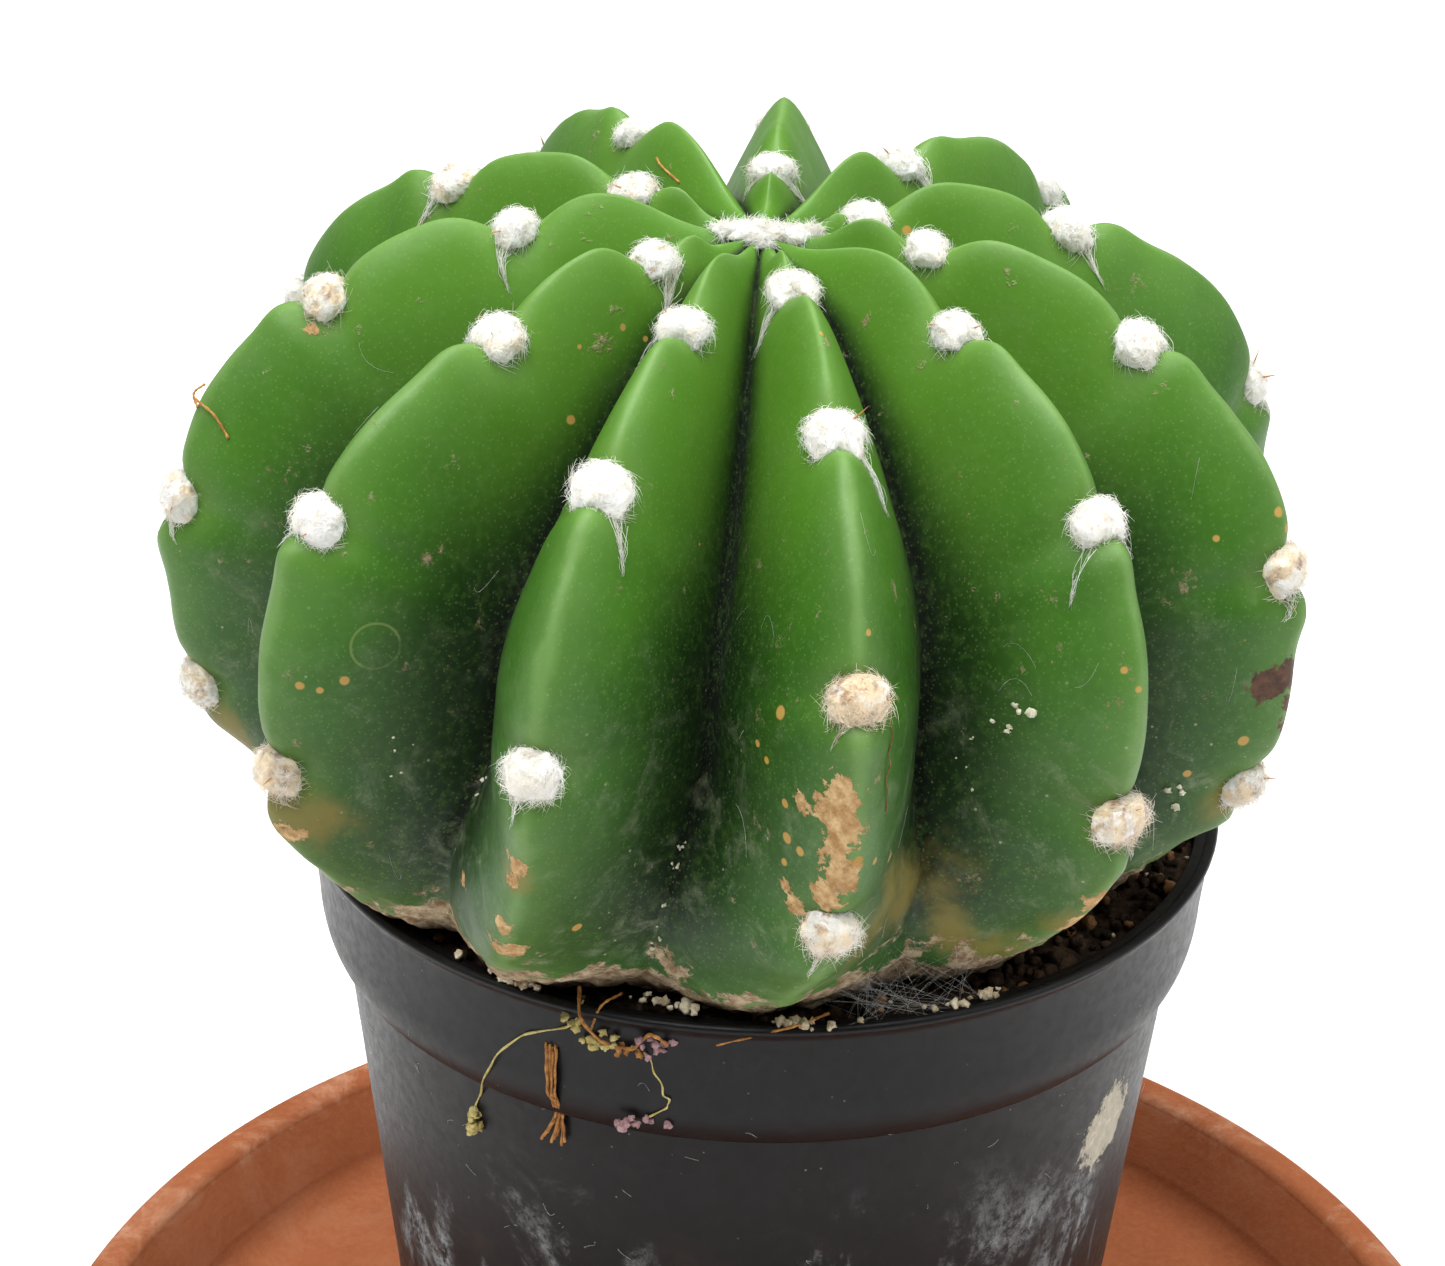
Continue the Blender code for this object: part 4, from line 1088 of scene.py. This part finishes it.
def make_debris(straw, yellow, mauve, pale, silk):
    left = ((-22, 2.4, 0.6), (-26.5, 4.0, 0.4), (-30.5, 6.4, 0.4), (-33.5, 9.8, 0.4), (-37.5, 14.6, 0.3),
            (-39.3, 17.2))
    stops = [on_lip(-20.5, 0.8, 0.3)] + [on_collar(*stop) for stop in left]
    thread("curly_thread_left", stops, 0.10, yellow, 0.14, 90)
    cluster("crumb_left", on_collar(-39.0, 18.6, 0.5), (0.45, 0.25, 0.95), 12, 0.5, yellow)
    cluster("crumb_upper", on_collar(-21.8, 1.7, 0.5), (0.5, 0.25, 0.35), 6, 0.42, yellow)
    cluster("crumb_middle", on_collar(-18.2, 3.2, 0.6), (1.2, 0.3, 0.5), 13, 0.42, yellow)
    cluster("crumb_brown", on_collar(-15.5, 3.6, 0.6), (0.9, 0.3, 0.4), 9, 0.4, straw)
    right = ((-14.5, 3.0, 0.8), (-13.0, 3.6, 0.6), (-12.0, 5.4), (-11.0, 7.4), (-10.3, 8.4), (-10.6, 9.2),
             (-12.6, 10.4))
    thread("curly_thread_right", [on_collar(*stop) for stop in right], 0.085, yellow, 0.12, 80)
    cluster("crumb_right", on_collar(-13.6, 10.8, 0.4), (0.95, 0.2, 0.35), 10, 0.45, mauve)
    cluster("crumb_mauve", on_collar(-11.6, 2.6, 0.7), (0.8, 0.2, 0.5), 9, 0.42, mauve)
    bundle = 8
    half = (bundle - 1) / 2
    for k in range(bundle):
        across = (k - half) / half
        top = on_collar(-24.6 + 0.75 * across, 4.9 + 0.3 * (k % 3), 0.25 + 0.15 * (k % 2))
        middle = on_collar(-24.6 + 0.55 * across, 9.6, 0.4 + 0.16 * (k % 3))
        waist = on_collar(-25.0 + 0.50 * across, 13.2, 0.4 + 0.16 * ((k + 1) % 3))
        low = on_collar(-26.3 + 1.7 * across, 16.9 - 0.5 * (k % 3), 0.5)
        thread(f"fibre_bundle_{k + 1}", [top, middle, waist, low], 0.12, straw, 0.06, 30)
    scrap = ((-20.0, 0.6, 0.6), (-18.0, 2.9, 0.9), (-14.5, 3.2, 0.9), (-12.5, 1.6, 0.9), (-11.2, 1.0, 0.8),
             (-10.4, 2.4, 0.7))
    stops = [on_lip(-21.5, 1.6, 1.0)] + [on_collar(*stop) for stop in scrap]
    thread("root_scrap_1", stops, 0.15, straw, 0.06)
    thread("root_scrap_2", [on_lip(-16.5, 2.4, 0.7), on_lip(-18.0, 0.3, 0.5), on_collar(-19.4, 2.2, 0.6)],
           0.11, straw)
    thread("straw_by_the_lip", [on_lip(8.0, 1.6, 0.5), on_lip(3.5, 0.1, 0.25), on_collar(-4.8, 2.1, 0.4)],
           0.13, straw, 0.0, 30)
    chips = []
    for degrees, inset, up, number, reach in ((-31.0, 1.0, 0.25, 20, 2.6), (-12.0, 2.6, 0.3, 12, 1.6),
                                              (-8.5, 2.3, 0.3, 7, 1.4), (6.0, 0.9, 0.15, 16, 2.0),
                                              (24.0, 1.6, 0.2, 12, 3.0)):
        for _ in range(number):
            chips.append(on_lip(degrees + RNG.normal() * reach, inset + RNG.normal() * 0.4, up))
    mesh_object("lip_chips", *grains(chips, RNG.uniform(0.12, 0.5, len(chips)) * MM, 0.5), "soil", [pale])
    # fine dust hairs that cling to the pot
    starts, ends = [], []
    for _ in range(90):
        degrees, below = RNG.uniform(-180, 180), RNG.uniform(2, 30)
        starts.append(on_collar(degrees, below, 0.06))
        ends.append(on_collar(degrees + RNG.normal() * 1.6, below + RNG.normal() * 0.9, 0.08))
    slung_hairs("dust_hairs", starts, ends, 0.016, "black_plastic", silk, (0.6, 0.0, 1.0))


def on_skin(rib, across, degrees, out=0.1):
    """A point over the skin, in the plant's own frame."""
    point = flank_point(rib, across, degrees)
    return point + unit(point - np.array([0, 0, STEM_WIDEST])) * out * MM


def make_skin_litter(spine, hair, flake, silk):
    for name, rib, stops, radius, material, curl, steps in (
        ("fallen_spine_1", 9, ((-0.09, 65.5, 0.5), (0.08, 64.0, 0.5), (0.17, 64.0, 0.3), (0.27, 65.5, 0.2)),
         0.11, spine, 0.0, 24),
        ("fallen_spine_2", 7, ((0.40, 14.5, 0.2), (0.47, 13.0, 0.3), (0.55, 9.5, 0.15)),
         0.11, spine, 0.0, 24),
        ("fallen_spine_3", 9, ((-0.05, 62.5, 0.3), (-0.02, 64.0, 0.7), (0.06, 65.0, 0.3)),
         0.11, spine, 0.0, 24),
        ("hanging_hair", 1, ((0.10, 69.0, 0.6), (0.23, 72.0, 0.4), (0.23, 77.0, 0.2), (0.22, 82.0, 0.3),
         (0.24, 87.0, 0.2)), 0.05, hair, 0.12, 60),
    ):
        thread(name, in_row([on_skin(rib, *stop) for stop in stops]), radius, material, curl, steps)
    places, sizes = [], []
    for rib, across, degrees, number, reach, size in (
        (2, -0.60, 84.5, 3, 0.8, 0.38), (2, -0.53, 81.0, 3, 0.5, 0.42), (3, -0.53, 107.0, 4, 0.7, 0.3),
        (0, 0.97, 106.5, 9, 2.0, 0.2), (0, 1.0, 114.0, 6, 1.6, 0.22), (2, -0.75, 92.0, 5, 4.0, 0.14),
        (10, 0.6, 95.0, 5, 5.0, 0.14), (0, -0.9, 100.0, 6, 4.0, 0.18), (5, 0.4, 95.0, 8, 6.0, 0.2),
        (7, 0.6, 90.0, 8, 6.0, 0.2),
    ):
        for _ in range(number):
            places.append(on_skin(rib, across + RNG.normal() * 0.03, degrees + RNG.normal() * reach, 0.05))
            sizes.append(size * RNG.uniform(0.5, 1.1) * MM)
    mesh_object("skin_flakes", *grains(in_row(places), sizes, 0.5), "stem_skin", [flake])
    count, steps = 70, 7
    ribs = RNG.integers(0, len(RIBS), count)
    across = RNG.uniform(-0.9, 0.9, count)
    degrees = 120 - 85 * RNG.random(count) ** 1.6
    t = np.linspace(-1, 1, steps)
    paths = []
    for k in range(count):
        run, turn, bow = RNG.normal(scale=(0.06, 1.6, 1.6))
        paths.append([
            on_skin(
                ribs[k],
                float(np.clip(across[k] + run * v, -1, 1)),
                degrees[k] + turn * v + bow * v * v,
                0.12,
            )
            for v in t
        ])
    lint = strands(in_row(paths), np.full((count, steps), 0.010 * MM))
    mesh_object("skin_lint", *lint, "stem_skin", [silk])
    # a torn cobweb between the heel and the lip
    heads = [on_skin(1, RNG.uniform(0.35, 1.0), RNG.uniform(115, 122), 0.1) for _ in range(40)]
    heads += [on_skin(2, RNG.uniform(-1.0, -0.4), RNG.uniform(116, 122), 0.1) for _ in range(20)]
    heads = in_row(heads)
    feet = [on_lip(RNG.uniform(10, 27), RNG.uniform(0.3, 2.0), 0.12) for _ in heads]
    slung_hairs("cobweb", heads, feet, 0.008, "soil", silk)


# ---------------------------------------------------------------- stage, lights and camera


def make_stage(material):
    size, steps = 3.0, 24
    run = np.linspace(-size, size, steps)
    points = [(x, y, 0.0) for y in run for x in run]
    faces = [
        (r * steps + c, r * steps + c + 1, (r + 1) * steps + c + 1, (r + 1) * steps + c)
        for r in range(steps - 1)
        for c in range(steps - 1)
    ]
    mesh = bpy.data.meshes.new("floor")
    mesh.from_pydata(points, [], faces)
    mesh.materials.append(material)
    floor = bpy.data.objects.new("floor", mesh)
    bpy.context.scene.collection.objects.link(floor)


LIT_POINT = Vector((0, 0, 0.1))
LAMPS = (
    ("key", (-0.30, -0.35, 1.0), (0.7, 0.5), 10.5),
    ("fill", (0.8, -0.3, 0.6), (0.6, 0.6), 2.5),
    ("top", (0.15, 0.12, 1.05), (0.9, 0.6), 10.0),
)


def softbox(name, place, size, watts):
    light = bpy.data.lights.new(name, "AREA")
    light.shape = "RECTANGLE"
    light.size, light.size_y = size
    light.energy = watts
    lamp = bpy.data.objects.new(name, light)
    lamp.location = place
    lamp.rotation_euler = (LIT_POINT - Vector(place)).to_track_quat("-Z", "Y").to_euler()
    bpy.context.scene.collection.objects.link(lamp)


def make_light():
    world = bpy.data.worlds.new("studio")
    world.use_nodes = True
    tree = world.node_tree
    background = tree.nodes["Background"]
    # a white tent that is open, and so darker, on the camera's side
    place = tree.nodes.new("ShaderNodeTexCoord").outputs["Generated"]
    parts = tree.nodes.new("ShaderNodeSeparateXYZ")
    tree.links.new(place, parts.inputs[0])
    open_side = tree.nodes.new("ShaderNodeMapRange")
    open_side.interpolation_type = "SMOOTHSTEP"
    tree.links.new(parts.outputs["Y"], open_side.inputs["Value"])
    for socket, value in (("From Min", -0.95), ("From Max", -0.25), ("To Min", 0.02), ("To Max", 0.32)):
        open_side.inputs[socket].default_value = value
    # what is seen past the floor's edge is plain white from every side
    seen = tree.nodes.new("ShaderNodeMath")
    seen.operation = "MAXIMUM"
    tree.links.new(open_side.outputs["Result"], seen.inputs[0])
    tree.links.new(tree.nodes.new("ShaderNodeLightPath").outputs["Is Camera Ray"], seen.inputs[1])
    tree.links.new(seen.outputs[0], background.inputs["Strength"])
    background.inputs["Color"].default_value = (1.0, 1.0, 1.0, 1.0)
    bpy.context.scene.world = world
    for lamp in LAMPS:
        softbox(*lamp)
    bpy.context.scene.view_settings.view_transform = "Standard"


CAMERA_PLACE = (-0.0034, -0.26906, 0.23279)
CAMERA_ELEVATION = math.radians(26.25)
CAMERA_ROLL = math.radians(1.36)
CAMERA_LENS = 80.57
CAMERA_SHIFT = (-0.0136, 0.0061)


def make_camera():
    elevation, roll = CAMERA_ELEVATION, CAMERA_ROLL
    right = Vector((1, 0, 0))
    forward = Vector((0, math.cos(elevation), -math.sin(elevation)))
    up = Vector((0, math.sin(elevation), math.cos(elevation)))
    camera = bpy.data.objects.new("camera", bpy.data.cameras.new("camera"))
    axes = Matrix((
        right * math.cos(roll) + up * math.sin(roll),
        up * math.cos(roll) - right * math.sin(roll),
        -forward,
    )).transposed()
    camera.matrix_world = Matrix.Translation(CAMERA_PLACE) @ axes.to_4x4()
    camera.data.lens = CAMERA_LENS
    camera.data.sensor_width = 36
    camera.data.shift_x, camera.data.shift_y = CAMERA_SHIFT
    camera.data.clip_start = 0.01
    bpy.context.scene.collection.objects.link(camera)
    bpy.context.scene.camera = camera


def main():
    make_camera()
    make_light()
    make_stage(floor_look())
    make_saucer(clay_look())
    make_pot(pot_look())
    soil = soil_look()
    make_soil(soil)
    pale = plain_look("perlite", (0.36, 0.27, 0.15), (0.80, 0.72, 0.55), 900)
    make_crumbs(soil, plain_look("bark", (0.11, 0.05, 0.02), (0.36, 0.19, 0.08), 1100), pale)
    make_stem(skin_look())
    wool, spine = wool_look(), spine_look()
    for index, rib in enumerate(RIBS):
        for order in range(len(rib[4])):
            make_tuft(index, order, wool, spine)
    make_crown_wool(wool)
    silk = plain_look("dust", (0.40, 0.40, 0.40), (0.62, 0.62, 0.60), 1200)
    make_debris(
        plain_look("dry_fibre", (0.22, 0.08, 0.02), (0.50, 0.24, 0.07), 1500, 0.7),
        plain_look("yellow_thread", (0.34, 0.26, 0.07), (0.60, 0.52, 0.22), 1200, 0.75),
        plain_look("mauve_crumb", (0.22, 0.12, 0.13), (0.48, 0.30, 0.30), 900),
        pale,
        silk,
    )
    make_skin_litter(
        plain_look("orange_spine", (0.30, 0.12, 0.025), (0.58, 0.32, 0.09), 1500, 0.5),
        plain_look("brown_hair", (0.14, 0.06, 0.02), (0.30, 0.15, 0.06), 1500, 0.7),
        plain_look("flake", (0.45, 0.44, 0.30), (0.75, 0.74, 0.58), 1200),
        silk,
    )


main()
